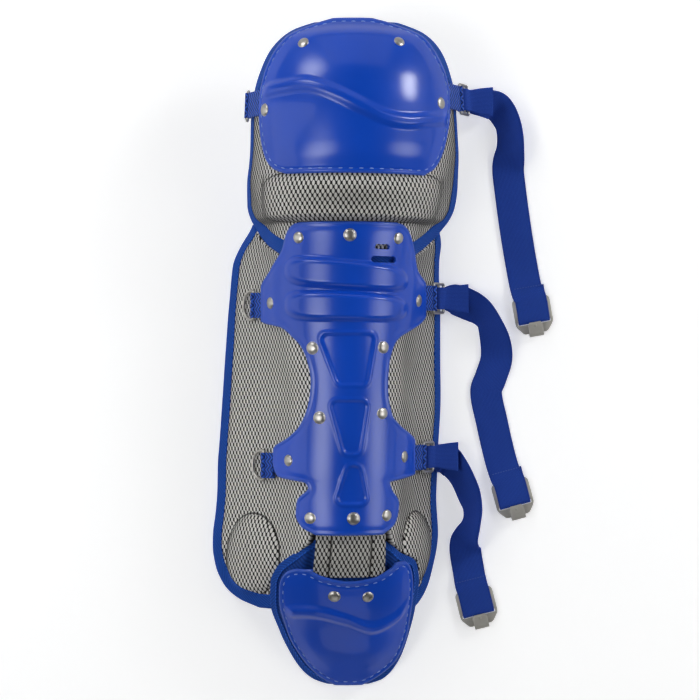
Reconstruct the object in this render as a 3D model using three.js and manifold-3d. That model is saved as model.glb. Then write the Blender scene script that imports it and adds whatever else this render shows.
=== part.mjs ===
// A baseball catcher's leg guard lying on its back: knee cap, shin shell and foot shell riveted over
// bound pads, with webbing tabs, wire rings and three elastic straps that end in pressed hooks.
// Millimetres. X runs across the leg, Y along it from the toe (-) to the knee (+), Z up from the floor.
import * as THREE from 'three';
import { mergeVertices } from 'three/addons/utils/BufferGeometryUtils.js';
import Module from 'manifold-3d';

const wasm = await Module();
wasm.setup();

// Driving sizes
const LENGTH = 650;         // knee end to toe tip, along Y
const GIRTH = 300;          // the calf liner's width laid flat
const CREST = 118;          // height of the soft form's ridge over the floor at the knee
const LINER = 13;           // calf liner thickness
const KNEE_PAD = 14;        // knee pad thickness
const FOOT_PAD = 8;         // foot pad thickness
const TONGUE = 5;           // ankle tongue thickness
const SHELL = 3.6;          // moulded shell wall
const PILLOW = 4.5;         // rise of the moulded ribs over the shell
const BINDING = 7;          // width of the bound edges
const WEB = 24.6;           // webbing tab width
const WEB_T = 1.5;          // webbing thickness
const STRAP = 31.8;         // elastic strap width
const STRAP_T = 2;          // elastic strap thickness
const WIRE = 3;             // ring and slide wire
const RIVET = 11;           // rivet head
const PLATE = 38;           // hook plate width
const PLATE_T = 1.6;        // hook plate sheet
const GAP = 0.3;            // play between touching pieces

// Small maths
const rad = Math.PI / 180;
const clamp = (v, a, b) => Math.min(b, Math.max(a, v));
const mix = (a, b, t) => a + (b - a) * t;
const smooth = (t) => { const c = clamp(t, 0, 1); return c * c * (3 - 2 * c); };
const vec = (x, y, z) => new THREE.Vector3(x, y, z);

// A monotone cubic through [at, value] pairs, held flat past both ends.
function curve(pairs) {
  const p = [...pairs].sort((a, b) => a[0] - b[0]);
  const n = p.length;
  const h = [], d = [], m = [];
  for (let i = 0; i < n - 1; i++) { h[i] = p[i + 1][0] - p[i][0]; d[i] = (p[i + 1][1] - p[i][1]) / h[i]; }
  for (let i = 1; i < n - 1; i++) m[i] = d[i] * d[i - 1] > 0 ? 2 * d[i] * d[i - 1] / (d[i] + d[i - 1]) : 0;
  m[0] = d[0]; m[n - 1] = d[n - 2];
  return (at) => {
    const x = clamp(at, p[0][0], p[n - 1][0]);
    let i = 0;
    while (i < n - 2 && x > p[i + 1][0]) i++;
    const t = (x - p[i][0]) / h[i], t2 = t * t, t3 = t2 * t;
    return (2 * t3 - 3 * t2 + 1) * p[i][1] + (t3 - 2 * t2 + t) * h[i] * m[i]
      + (3 * t2 - 2 * t3) * p[i + 1][1] + (t3 - t2) * h[i] * m[i + 1];
  };
}

// One curve for each named column of a table whose first column is the place along Y.
// `units` gives the size that each column's shares are of.
function columns(names, units, rows) {
  const out = {};
  names.slice(1).forEach((name, k) => {
    out[name] = curve(rows.map((r) => [r[0] * units[0], r[k + 1] * units[k + 1]]));
  });
  return out;
}

// The soft forms under everything
// A form's section is a round crest, then a flank that flares from a steeper angle to a flatter one.
const FLARE = 0.15 * GIRTH;
const LEG = columns(
  ['along', 'shift', 'crest', 'radius', 'roll', 'turnR', 'flankR', 'turnL', 'flankL'],
  [LENGTH, GIRTH, CREST, GIRTH, 1, 1, 1, 1, 1], [
    [0.520, 0.010, 0.470, 0.333, 0, 66, 66, 66, 62],
    [0.471, 0.010, 0.710, 0.333, 0, 66, 66, 66, 62],
    [0.438, 0.010, 0.856, 0.333, 0, 66, 66, 66, 62],
    [0.391, 0.010, 0.966, 0.333, 0, 68, 66, 68, 62],
    [0.348, 0.010, 1.000, 0.333, 0, 68, 66, 68, 62],
    [0.305, 0.010, 0.992, 0.333, 0, 68, 64, 68, 62],
    [0.262, 0.007, 0.949, 0.327, 1, 67, 60, 69, 60],
    [0.218, 0.003, 0.898, 0.300, 2, 65, 56, 68, 58],
    [0.182, 0.000, 0.873, 0.267, 3, 65, 56, 66, 55],
    [0.131, 0.000, 0.856, 0.253, 5, 67, 59, 60, 49],
    [0.072, 0.000, 0.847, 0.247, 6, 65, 56, 58, 47],
    [0.000, 0.003, 0.839, 0.227, 7, 63, 54, 55, 44],
    [-0.072, 0.007, 0.839, 0.220, 7, 63, 54, 53, 42],
    [-0.162, 0.007, 0.839, 0.220, 8, 64, 55, 52, 41],
    [-0.220, 0.010, 0.830, 0.213, 9, 64, 55, 51, 40],
    [-0.278, 0.010, 0.826, 0.207, 9, 63, 53, 50, 38],
    [-0.330, 0.010, 0.768, 0.207, 9, 63, 52, 48, 35.5],
    [-0.380, 0.010, 0.670, 0.207, 9, 62, 50, 44, 31],
  ]);
const FOOT = columns(
  ['along', 'shift', 'crest', 'radius', 'roll', 'turnR', 'flankR', 'turnL', 'flankL'],
  [LENGTH, GIRTH, CREST, GIRTH, 1, 1, 1, 1, 1], [
    [-0.240, 0.010, 0.815, 0.207, 9, 55, 52, 40, 36],
    [-0.274, 0.008, 0.810, 0.213, 8, 52, 48, 34, 32],
    [-0.300, 0.005, 0.783, 0.240, 7, 46, 42, 30, 28],
    [-0.325, 0.000, 0.724, 0.280, 6, 40, 38, 28, 26],
    [-0.352, -0.003, 0.655, 0.300, 5, 38, 38, 25, 25],
    [-0.380, -0.007, 0.582, 0.293, 4, 36, 38, 25, 27],
    [-0.415, -0.008, 0.452, 0.267, 3, 34, 36, 30, 34],
    [-0.450, -0.008, 0.328, 0.240, 2, 31, 33, 29, 31],
    [-0.485, -0.008, 0.180, 0.220, 1, 25, 25, 25, 25],
    [-0.520, -0.008, 0.060, 0.200, 0, 18, 18, 18, 18],
  ]);

function arc(angle, bend, d) {
  if (Math.abs(bend) < 1e-9) return [d * Math.cos(angle), -d * Math.sin(angle)];
  const end = angle + bend * d;
  return [(Math.sin(end) - Math.sin(angle)) / bend, (Math.cos(end) - Math.cos(angle)) / bend];
}

// The form's point s along the surface from the crest, at y.
function onForm(form, s, y) {
  const right = s >= 0;
  const r = form.radius(y);
  const first = (right ? 1 : -1) * form.roll(y) * rad;
  const turn = (right ? form.turnR(y) : form.turnL(y)) * rad;
  const flank = (right ? form.flankR(y) : form.flankL(y)) * rad;
  const a = Math.abs(s), round = r * (turn - first);
  const [x1, z1] = arc(first, 1 / r, Math.min(a, round));
  const [x2, z2] = arc(turn, (flank - turn) / FLARE, clamp(a - round, 0, FLARE));
  const rest = Math.max(a - round - FLARE, 0);
  const x = x1 + x2 + rest * Math.cos(flank), z = z1 + z2 - rest * Math.sin(flank);
  return vec(form.shift(y) + (right ? x : -x), y, form.crest(y) + z);
}
function lift(form, s, y, h) {
  const e = 0.5;
  const du = onForm(form, s + e, y).sub(onForm(form, s - e, y));
  const dv = onForm(form, s, y + e).sub(onForm(form, s, y - e));
  const n = du.clone().cross(dv).normalize();
  return { p: onForm(form, s, y).addScaledVector(n, h), n, u: du.normalize(), v: dv.normalize() };
}

// Geometry builders
function solid(points, faces) {
  let volume = 0;
  for (let k = 0; k < faces.length; k += 3) {
    volume += points[faces[k]].dot(points[faces[k + 1]].clone().cross(points[faces[k + 2]]));
  }
  if (volume < 0) faces.reverse();
  const g = new THREE.BufferGeometry();
  g.setAttribute('position', new THREE.Float32BufferAttribute(points.flatMap((p) => [p.x, p.y, p.z]), 3));
  g.setIndex(faces);
  return g;
}

// A layer between two heights over a form. `lines` are functions of y giving s, `bars` functions of the
// share across giving y; the numbers of cells between them are `across` and `along`.
function layer(form, { lines, across, bars, along, over, under }) {
  const us = [0], vs = [0];
  across.forEach((n, k) => { for (let i = 1; i <= n; i++) us.push(k + i / n); });
  along.forEach((n, k) => { for (let i = 1; i <= n; i++) vs.push(k + i / n); });
  const nu = us.length, nv = vs.length;
  const at = (j, i) => {
    const u = us[i] / across.length;
    const kv = Math.min(Math.floor(vs[j]), along.length - 1);
    const y = mix(bars[kv](u), bars[kv + 1](u), vs[j] - kv);
    const ku = Math.min(Math.floor(us[i]), across.length - 1);
    return [mix(lines[ku](y), lines[ku + 1](y), us[i] - ku), y];
  };
  const points = [], faces = [], n = nu * nv;
  for (const height of [over, under]) {
    for (let j = 0; j < nv; j++) for (let i = 0; i < nu; i++) {
      const [s, y] = at(j, i);
      points.push(lift(form, s, y, height(s, y)).p);
    }
  }
  // rows run from the knee end to the toe end, so the top faces turn clockwise in (s, y)
  for (let j = 0; j < nv - 1; j++) for (let i = 0; i < nu - 1; i++) {
    const a = j * nu + i, b = a + 1, c = a + nu, d = c + 1;
    if ((i + j) % 2) faces.push(a, c, b, b, c, d, n + a, n + b, n + c, n + b, n + d, n + c);
    else faces.push(a, c, d, a, d, b, n + a, n + d, n + c, n + a, n + b, n + d);
  }
  const rim = [];
  for (let i = 0; i < nu - 1; i++) rim.push([0, i]);
  for (let j = 0; j < nv - 1; j++) rim.push([j, nu - 1]);
  for (let i = nu - 1; i > 0; i--) rim.push([nv - 1, i]);
  for (let j = nv - 1; j > 0; j--) rim.push([j, 0]);
  rim.forEach(([j, i], k) => {
    const [j2, i2] = rim[(k + 1) % rim.length];
    const a = j * nu + i, b = j2 * nu + i2;
    faces.push(a, b, n + b, a, n + b, n + a);
  });
  const edge = rim.map(([j, i]) => { const [s, y] = at(j, i); return { s, y, over: over(s, y), under: under(s, y) }; });
  return { geometry: solid(points, faces), edge };
}

// A closed sweep: `sections` are rings of equal length; open ends are capped unless it closes on itself.
function sweep(sections, closed) {
  const m = sections[0].length, n = sections.length;
  const points = sections.flat(), faces = [];
  const last = closed ? n : n - 1;
  for (let k = 0; k < last; k++) for (let i = 0; i < m; i++) {
    const a = k * m + i, b = k * m + (i + 1) % m;
    const c = ((k + 1) % n) * m + i, d = ((k + 1) % n) * m + (i + 1) % m;
    faces.push(a, b, d, a, d, c);
  }
  if (!closed) for (let i = 1; i < m - 1; i++) {
    faces.push(0, i + 1, i);
    const e = (n - 1) * m;
    faces.push(e, e + i, e + i + 1);
  }
  return solid(points, faces);
}

// A bound edge: a rounded bead just outside a layer's rim, all the way round.
function bead(form, edge, width, swell) {
  const n = edge.length;
  const rings = edge.map((e, k) => {
    const a = edge[(k + n - 1) % n], b = edge[(k + 1) % n];
    const t1 = new THREE.Vector2(e.s - a.s, e.y - a.y).normalize();
    const t2 = new THREE.Vector2(b.s - e.s, b.y - e.y).normalize();
    const out = new THREE.Vector2(-(t1.y + t2.y), t1.x + t2.x).normalize();
    const miter = 1 / Math.max(0.5, out.dot(new THREE.Vector2(-t1.y, t1.x)));
    const mid = (e.over + e.under) / 2, half = (e.over - e.under) / 2 + swell;
    const at = (o, h) => lift(form, e.s + out.x * o * miter, e.y + out.y * o * miter, mid + h).p;
    return [at(2 * GAP, half), at(2 * GAP, -half), at(width * 0.7, -half * 0.9), at(width, 0), at(width * 0.7, half * 0.9)];
  });
  return sweep(rings, true);
}

function toManifold(geometry) {
  const g = geometry.clone();
  g.deleteAttribute('normal'); g.deleteAttribute('uv');
  const m = mergeVertices(g, 1e-4);
  return new wasm.Manifold(new wasm.Mesh({
    numProp: 3, vertProperties: new Float32Array(m.attributes.position.array), triVerts: new Uint32Array(m.index.array),
  }));
}
function fromManifold(body) {
  const mesh = body.getMesh(), g = new THREE.BufferGeometry();
  g.setAttribute('position', new THREE.BufferAttribute(new Float32Array(mesh.vertProperties), 3));
  g.setIndex(new THREE.BufferAttribute(new Uint32Array(mesh.triVerts), 1));
  return g;
}
const join = (a, b) => fromManifold(toManifold(a).add(toManifold(b)));
const cut = (a, b) => fromManifold(toManifold(a).subtract(toManifold(b)));

// The group
const group = new THREE.Group();
const paint = (color, roughness, metalness) => new THREE.MeshStandardMaterial({ color, roughness, metalness });
const SHELL_BLUE = paint(0x123f9e, 0.18, 0), BINDING_BLUE = paint(0x1d46a8, 0.7, 0);
const MESH_GREY = paint(0x77746e, 0.9, 0), STRAP_BLUE = paint(0x1b3680, 0.75, 0);
const WEB_BLUE = paint(0x20489a, 0.8, 0), STEEL = paint(0xb9bcc0, 0.3, 1), HOOK_GREY = paint(0x8d9096, 0.4, 1);

function add(name, geometry, material) {
  const mesh = new THREE.Mesh(geometry, material);
  mesh.name = name;
  group.add(mesh);
  return mesh;
}
// A basis whose X, Y and Z are the given directions, for pieces built in their own frame.
function place(mesh, origin, x, y, z) {
  mesh.matrix.makeBasis(x, y, z).setPosition(origin);
  mesh.matrix.decompose(mesh.position, mesh.quaternion, mesh.scale);
  return mesh;
}

// Outlines over the leg form
const L = LENGTH, G = GIRTH;
const at = (y) => y * L;
const line = (rows) => curve(rows.map(([y, s]) => [y * L, s * G]));

// Where a wing's bound edge just touches the floor.
function floorEdge(form, y, side, h) {
  let lo = 0.1 * G, hi = 0.9 * G;
  for (let k = 0; k < 30; k++) {
    const m = (lo + hi) / 2;
    if (lift(form, side * (m + BINDING * 0.7), y, h).p.z > 0) lo = m; else hi = m;
  }
  return side * lo;
}

const line2 = (rows) => curve(rows.map(([s, y]) => [s * G, y * L]));
const band = (d, half, edge) => 1 - smooth((Math.abs(d) - half) / edge);

// Calf liner: full wings from the knee to the ankle, arched over the instep between two ankle lobes.
const LINER_TOP = at(0.236), LOBE = at(-0.380), LINER_EDGE = 0.5 * LINER, SUNK = 9.8, ANKLE_SUNK = 14;
const linerWidth = (side) => {
  const round = curve([[LOBE, side < 0 ? 0.70 : 0.88], [LOBE + 0.012 * L, side < 0 ? 0.85 : 0.94], [LOBE + 0.030 * L, side < 0 ? 0.94 : 0.975],
    [LOBE + 0.055 * L, 0.99], [LOBE + 0.085 * L, 1], [LINER_TOP - 0.055 * L, 1], [LINER_TOP, 0.97]]);
  const rows = [];
  for (let k = 0; k <= 24; k++) {
    const y = mix(LOBE, LINER_TOP, k / 24);
    rows.push([y, floorEdge(LEG, y, side, -LINER_EDGE - 0.4 - 9.6 * smooth((y / L - 0.154) / 0.036))]);
  }
  const floor = curve(rows);
  return (y) => floor(y) * round(y);
};
const linerL = linerWidth(-1), linerR = linerWidth(1);
// The liner is sunk where the knee pad, the tongue and the foot pad lie over it.
const kneeCover = line2([[-0.51, 0.196], [-0.45, 0.178], [-0.40, 0.150], [-0.33, 0.132], [-0.25, 0.120], [-0.18, 0.112],
  [0, 0.110], [0.18, 0.112], [0.27, 0.120], [0.35, 0.132], [0.42, 0.150], [0.47, 0.178], [0.51, 0.196]]);
const footCover = line2([[-0.30, -0.318], [-0.257, -0.308], [-0.194, -0.286], [-0.152, -0.268], [-0.132, -0.254], [0, -0.250],
  [0.132, -0.254], [0.152, -0.268], [0.188, -0.286], [0.265, -0.298], [0.30, -0.306]]);
const linerEnd = line2([[-0.42, -0.380], [-0.34, -0.376], [-0.29, -0.362], [-0.25, -0.344], [-0.19, -0.322], [-0.13, -0.302],
  [-0.06, -0.281], [0, -0.275], [0.06, -0.281], [0.13, -0.302], [0.19, -0.318], [0.25, -0.338], [0.29, -0.358], [0.34, -0.374], [0.42, -0.380]]);
const IN_L = -0.25 * G, IN_R = 0.25 * G;
const linerAcross = (u) => (u < 1 / 3 ? mix(-0.52 * G, IN_L, u * 3) : u > 2 / 3 ? mix(IN_R, 0.46 * G, u * 3 - 2) : mix(IN_L, IN_R, u * 3 - 1));
const linerInset = (s, y) => Math.min(s - linerL(y), linerR(y) - s, LINER_TOP - y, y - linerEnd(s));
const ankleBulge = (s, y) => {
  const bump = (cs, cy, rs, ry) => Math.max(0, 1 - ((s / G - cs) / rs) ** 2 - ((y / L - cy) / ry) ** 2) ** 0.6;
  return Math.max(bump(-0.395, -0.310, 0.115, 0.064), bump(0.300, -0.298, 0.088, 0.055));
};
const linerOver = (s, y) => {
  const knee = smooth((y - kneeCover(s) + 0.005 * L) / (0.010 * L));
  const foot = smooth((footCover(s) + 0.005 * L - y) / (0.010 * L)) * (1 - smooth((Math.abs(s) - 0.29 * G) / (0.05 * G)));
  const rim = 1 - smooth(linerInset(s, y) / 14);
  return -SUNK * knee - ANKLE_SUNK * foot - 1.5 * rim * (1 - Math.max(knee, foot)) + 5 * ankleBulge(s, y) * (1 - rim) * (1 - foot);
};
const linerUnder = (s, y) => Math.min(-mix(LINER_EDGE, LINER, smooth(linerInset(s, y) / 26)), linerOver(s, y) - 4);
const liner = layer(LEG, {
  lines: [linerL, () => IN_L, () => IN_R, linerR],
  across: [4, 10, 4],
  bars: [() => LINER_TOP, (u) => kneeCover(linerAcross(u)) + 0.005 * L, (u) => kneeCover(linerAcross(u)) - 0.005 * L, () => at(-0.215),
    (u) => footCover(linerAcross(u)) + 0.005 * L, (u) => footCover(linerAcross(u)) - 0.005 * L, (u) => linerEnd(linerAcross(u))],
  along: [4, 1, 7, 4, 1, 2],
  over: linerOver, under: linerUnder,
});
add('calf_liner', liner.geometry, MESH_GREY);
add('calf_binding', bead(LEG, liner.edge, BINDING, 0.6), BINDING_BLUE);

// Knee pad: thick under the knee cap, with a raised bolster below it, thin where it runs under the shin shell.
const kneeL = line([[0.476, -0.125], [0.466, -0.205], [0.441, -0.290], [0.412, -0.350], [0.383, -0.400], [0.346, -0.428], [0.308, -0.434],
  [0.279, -0.442], [0.250, -0.458], [0.221, -0.462], [0.194, -0.425], [0.172, -0.360], [0.150, -0.240], [0.136, -0.140]]);
const kneeR = line([[0.476, 0.145], [0.463, 0.245], [0.440, 0.325], [0.410, 0.388], [0.381, 0.430], [0.347, 0.444], [0.309, 0.458],
  [0.274, 0.470], [0.244, 0.476], [0.217, 0.470], [0.192, 0.435], [0.168, 0.360], [0.148, 0.250], [0.136, 0.140]]);
const KNEE_TOP = at(0.476), KNEE_END = at(0.136);
const kneeInset = (s, y) => Math.min(s - kneeL(y), kneeR(y) - s, KNEE_TOP - y);
const bolster = (s, y) => {
  const dy = (y / L - 0.2245) / 0.0365, ds = (s / G - 0.012) / 0.33;
  return Math.sqrt(Math.max(0, 1 - dy * dy)) * Math.sqrt(Math.max(0, 1 - ds ** 8));
};
const kneeOver = (s, y) => -0.2 + smooth((y / L - 0.184) / 0.018) * (2.2 + 4 * smooth(kneeInset(s, y) / 18)) + 7 * bolster(s, y);
const kneeUnder = () => KNEE_PAD * -0.46;
const knee = layer(LEG, {
  lines: [kneeL, (y) => kneeL(y) * 0.74, (y) => kneeR(y) * 0.74, kneeR],
  across: [2, 9, 2],
  bars: [() => KNEE_TOP, () => at(0.262), () => at(0.2245), () => at(0.188), () => KNEE_END],
  along: [9, 2, 2, 3],
  over: kneeOver, under: kneeUnder,
});
add('knee_pad', knee.geometry, MESH_GREY);
add('knee_binding', bead(LEG, knee.edge, BINDING * 1.1, 0.4), BINDING_BLUE);

// Knee cap: a glossy dome with a flange all round and an S-shaped ridge across it.
const capL = line([[0.482, -0.060], [0.475, -0.112], [0.461, -0.180], [0.447, -0.222], [0.429, -0.258], [0.402, -0.292], [0.374, -0.312],
  [0.346, -0.313], [0.312, -0.299], [0.285, -0.271], [0.268, -0.233], [0.261, -0.197]]);
const capR = line([[0.482, 0.057], [0.475, 0.115], [0.461, 0.190], [0.447, 0.236], [0.426, 0.277], [0.403, 0.310], [0.378, 0.329],
  [0.351, 0.328], [0.317, 0.307], [0.291, 0.277], [0.274, 0.252], [0.261, 0.215]]);
const CAP_TOP = at(0.482), CAP_END = at(0.261), FLANGE = 6;
const capRidge = curve([[0, 0.378], [0.165, 0.381], [0.276, 0.382], [0.389, 0.371], [0.514, 0.353], [0.626, 0.337], [0.738, 0.332],
  [0.849, 0.336], [1, 0.341]].map(([u, y]) => [u, y * L]));
const capU = (s, y) => clamp((s - capL(y)) / (capR(y) - capL(y)), 0, 1);
const capInset = (s, y) => Math.min(s - capL(y), capR(y) - s, CAP_TOP - y, y - CAP_END);
const capUnder = (s, y) => kneeOver(s, y) + 1.2;
const capOver = (s, y) => capUnder(s, y) + SHELL + 1.6 * smooth((capInset(s, y) - 0.6 * FLANGE) / (0.4 * FLANGE))
  + 2.6 * band(y - capRidge(capU(s, y)), 0.006 * L, 0.006 * L);
const capBar = (shift) => (u) => capRidge(u < 1 / 3 ? 0 : u > 2 / 3 ? 1 : u * 3 - 1) + shift * L;
const cap = layer(LEG, {
  lines: [capL, (y) => capL(y) + FLANGE, (y) => capR(y) - FLANGE, capR],
  across: [1, 14, 1],
  bars: [() => CAP_TOP, () => CAP_TOP - FLANGE, capBar(0.012), capBar(0.006), capBar(-0.006), capBar(-0.012), () => CAP_END + FLANGE, () => CAP_END],
  along: [1, 6, 1, 1, 1, 4, 1],
  over: capOver, under: capUnder,
});
add('knee_cap_shell', cap.geometry, SHELL_BLUE);

// Shin shell: a waisted plate with two pairs of ears, two pillow ribs at the top and a column of panels.
const shinL = line([[0.186, -0.166], [0.183, -0.186], [0.174, -0.204], [0.162, -0.216], [0.148, -0.226], [0.119, -0.285], [0.093, -0.345], [0.044, -0.345], [0.035, -0.234],
  [0.022, -0.191], [0.008, -0.158], [-0.014, -0.135], [-0.044, -0.124], [-0.066, -0.128], [-0.088, -0.139], [-0.115, -0.170],
  [-0.131, -0.215], [-0.148, -0.287], [-0.167, -0.288], [-0.186, -0.268], [-0.193, -0.148], [-0.202, -0.136], [-0.223, -0.179],
  [-0.243, -0.183], [-0.258, -0.164], [-0.269, -0.115]]);
const shinR = line([[0.186, 0.158], [0.183, 0.178], [0.174, 0.200], [0.162, 0.216], [0.150, 0.229], [0.120, 0.254], [0.098, 0.326], [0.052, 0.330], [0.042, 0.300],
  [0.029, 0.215], [0.021, 0.172], [0.008, 0.142], [-0.022, 0.119], [-0.059, 0.112], [-0.096, 0.128], [-0.114, 0.170], [-0.136, 0.258],
  [-0.184, 0.262], [-0.193, 0.118], [-0.206, 0.126], [-0.226, 0.158], [-0.241, 0.154], [-0.255, 0.140], [-0.269, 0.095]]);
const panelL = line([[0.186, -0.098], [0.029, -0.100], [-0.055, -0.059], [-0.069, -0.074], [-0.156, -0.041], [-0.166, -0.036],
  [-0.192, -0.040], [-0.229, -0.056], [-0.269, -0.062]]);
const panelR = line([[0.186, 0.083], [0.029, 0.082], [-0.055, 0.057], [-0.069, 0.053], [-0.156, 0.034], [-0.166, 0.041],
  [-0.192, 0.039], [-0.229, 0.044], [-0.269, 0.047]]);
const SHIN_TOP = at(0.186), SHIN_END = at(-0.269);
const slant = (left, right) => (s) => mix(left, right, clamp(s / (0.36 * G) + 0.5, 0, 1)) * L;
const ribTops = [slant(0.141, 0.120), slant(0.073, 0.073)], ribEnds = [slant(0.088, 0.098), slant(0.046, 0.036)];
const shinInset = (s, y) => Math.min(s - shinL(y), shinR(y) - s, SHIN_TOP - y, y - SHIN_END);
const pillow = (s, y) => Math.max(...ribTops.map((top, k) => {
  const t = (top(s) - y) / (top(s) - ribEnds[k](s));
  return t > 0 && t < 1 ? Math.sin(Math.PI * t) ** 0.6 * smooth((0.215 * G - Math.abs(s + 0.008 * G)) / (0.035 * G)) : 0;
}));
const PANELS = [[0.029, -0.055], [-0.069, -0.156], [-0.166, -0.229]];
const panel = (s, y) => (PANELS.some(([a, b]) => y < (a - 0.002) * L && y > (b + 0.002) * L)
  ? smooth(Math.min(s - panelL(y), panelR(y) - s) / 3) : 0);
const shinUnder = (s, y) => 1.3 + 0.6 * smooth((Math.abs(s) - 0.2 * G) / (0.07 * G))
  + Math.max(3.8 * band(y - at(-0.1885), 0.008 * L, 0.008 * L), 2 * band(y - at(0.036), 0.006 * L, 0.006 * L)) * smooth((Math.abs(s) - 0.06 * G) / (0.06 * G));
const shinOver = (s, y) => shinUnder(s, y) + SHELL - 0.8 + 1.4 * smooth((shinInset(s, y) - 0.6 * FLANGE) / (0.4 * FLANGE))
  + PILLOW * pillow(s, y) - 1.4 * panel(s, y);
const shinAcross = (u) => mix(-0.2 * G, 0.2 * G, u);
const shin = layer(LEG, {
  lines: [shinL, (y) => shinL(y) + FLANGE, panelL, panelR, (y) => shinR(y) - FLANGE, shinR],
  across: [1, 5, 3, 5, 1],
  bars: [() => SHIN_TOP, () => SHIN_TOP - FLANGE, () => at(0.150), ...[0, 1].flatMap((k) => [(u) => ribTops[k](shinAcross(u)), (u) => ribEnds[k](shinAcross(u))]),
    ...[0.029, -0.055, -0.069, -0.114, -0.138, -0.156, -0.184, -0.193, -0.229].map((y) => () => at(y)), () => SHIN_END + FLANGE, () => SHIN_END],
  along: [1, 2, 1, 3, 1, 3, 1, 4, 1, 2, 2, 1, 2, 1, 3, 2, 1],
  over: shinOver, under: shinUnder,
});
// Two vent slots through the top of the shell.
const slot = (s0, s1, y0, y1) => {
  const a = lift(LEG, (s0 + s1) / 2 * G, (y0 + y1) / 2 * L, 3);
  const w = (s1 - s0) * G / 2, h = (y0 - y1) * L / 2, shape = new THREE.Shape();
  shape.absarc(w - h, 0, h, -Math.PI / 2, Math.PI / 2);
  shape.absarc(-w + h, 0, h, Math.PI / 2, 3 * Math.PI / 2);
  const g = new THREE.ExtrudeGeometry(shape, { depth: 30, bevelEnabled: false, curveSegments: 4 });
  g.translate(0, 0, -15);
  return g.applyMatrix4(new THREE.Matrix4().makeBasis(a.u, a.n.clone().cross(a.u), a.n).setPosition(a.p));
};
add('shin_shell', cut(cut(shin.geometry, slot(0.073, 0.125, 0.1555, 0.1480)), slot(0.060, 0.150, 0.1375, 0.1285)), SHELL_BLUE);

// Tongue and foot flap, drooping from the ankle to the floor.
const TONGUE_TOP = at(-0.262), TONGUE_END = at(-0.336);
const tongueOver = () => 0;
const tongue = layer(FOOT, {
  lines: [() => -0.120 * G, () => 0.120 * G], across: [6],
  bars: [() => TONGUE_TOP, () => TONGUE_END], along: [5],
  over: (s, y) => (y < at(-0.268) ? 0 : -0.8), under: () => -TONGUE,
});
add('ankle_tongue', tongue.geometry, MESH_GREY);

const footL = line([[-0.278, -0.060], [-0.290, -0.135], [-0.309, -0.190], [-0.330, -0.240], [-0.349, -0.255], [-0.395, -0.254],
  [-0.427, -0.232], [-0.459, -0.196], [-0.485, -0.155], [-0.500, -0.112], [-0.506, -0.070]]);
const footR = line([[-0.278, 0.060], [-0.290, 0.130], [-0.309, 0.180], [-0.322, 0.240], [-0.348, 0.250], [-0.396, 0.236],
  [-0.428, 0.216], [-0.460, 0.188], [-0.485, 0.152], [-0.500, 0.115], [-0.506, 0.072]]);
const FOOT_TOP = at(-0.278), FOOT_END = at(-0.506);
const footInset = (s, y) => Math.min(s - footL(y), footR(y) - s, FOOT_TOP - y, y - FOOT_END);
const underTongue = (s, y) => (1 - smooth((Math.abs(s) - 0.130 * G) / (0.03 * G))) * smooth((y - at(-0.343)) / (0.005 * L));
const footOver = (s, y) => -0.5 - (TONGUE + 0.4) * underTongue(s, y) - 1.5 * (1 - smooth(footInset(s, y) / 12));
const footUnder = (s, y) => Math.min(-mix(0.6 * FOOT_PAD, FOOT_PAD, smooth(footInset(s, y) / 14)), footOver(s, y) - 3);
const foot = layer(FOOT, {
  lines: [footL, () => -0.125 * G, () => 0.125 * G, footR].map((f, k) => (k === 1 ? (y) => Math.max(f(y), footL(y) * 0.6)
    : k === 2 ? (y) => Math.min(f(y), footR(y) * 0.6) : f)),
  across: [3, 6, 3],
  bars: [() => FOOT_TOP, () => at(-0.338), () => at(-0.343), () => FOOT_END], along: [4, 1, 8],
  over: footOver, under: footUnder,
});
add('foot_pad', foot.geometry, BINDING_BLUE);
add('foot_binding', bead(FOOT, foot.edge, BINDING * 0.85, 0.3), BINDING_BLUE);

const toeL = line([[-0.324, -0.168], [-0.339, -0.225], [-0.375, -0.226], [-0.427, -0.201], [-0.467, -0.147], [-0.488, -0.098], [-0.497, -0.050]]);
const toeR = line([[-0.315, 0.191], [-0.342, 0.222], [-0.367, 0.226], [-0.418, 0.214], [-0.467, 0.168], [-0.488, 0.112], [-0.497, 0.055]]);
const toeTop = curve([[0, -0.324], [0.27, -0.333], [0.5, -0.341], [0.75, -0.333], [1, -0.315]].map(([u, y]) => [u, y * L]));
const toeRidge = curve([[0, -0.389], [0.27, -0.385], [0.48, -0.395], [0.67, -0.412], [0.85, -0.398], [1, -0.372]].map(([u, y]) => [u, y * L]));
const TOE_END = at(-0.497);
const toeU = (s, y) => clamp((s - toeL(y)) / (toeR(y) - toeL(y)), 0, 1);
const toeInset = (s, y) => Math.min(s - toeL(y), toeR(y) - s, toeTop(toeU(s, y)) - y, y - TOE_END);
const toeUnder = () => 0.5;
const toeOver = (s, y) => toeUnder() + SHELL - 0.8 + 1.4 * smooth((toeInset(s, y) - 0.6 * FLANGE) / (0.4 * FLANGE))
  + 2.4 * band(y - toeRidge(toeU(s, y)), 0.006 * L, 0.006 * L);
const inner = (u) => (u < 1 / 3 ? 0 : u > 2 / 3 ? 1 : u * 3 - 1);
const toe = layer(FOOT, {
  lines: [toeL, (y) => toeL(y) + FLANGE, (y) => toeR(y) - FLANGE, toeR],
  across: [1, 10, 1],
  bars: [(u) => toeTop(inner(u)), (u) => toeTop(inner(u)) - FLANGE, ...[0.012, 0.006, -0.006, -0.012].map((d) => (u) => toeRidge(inner(u)) + d * L),
    () => TOE_END + FLANGE, () => TOE_END],
  along: [1, 3, 1, 1, 1, 5, 1],
  over: toeOver, under: toeUnder,
});
add('foot_shell', toe.geometry, SHELL_BLUE);

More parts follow.
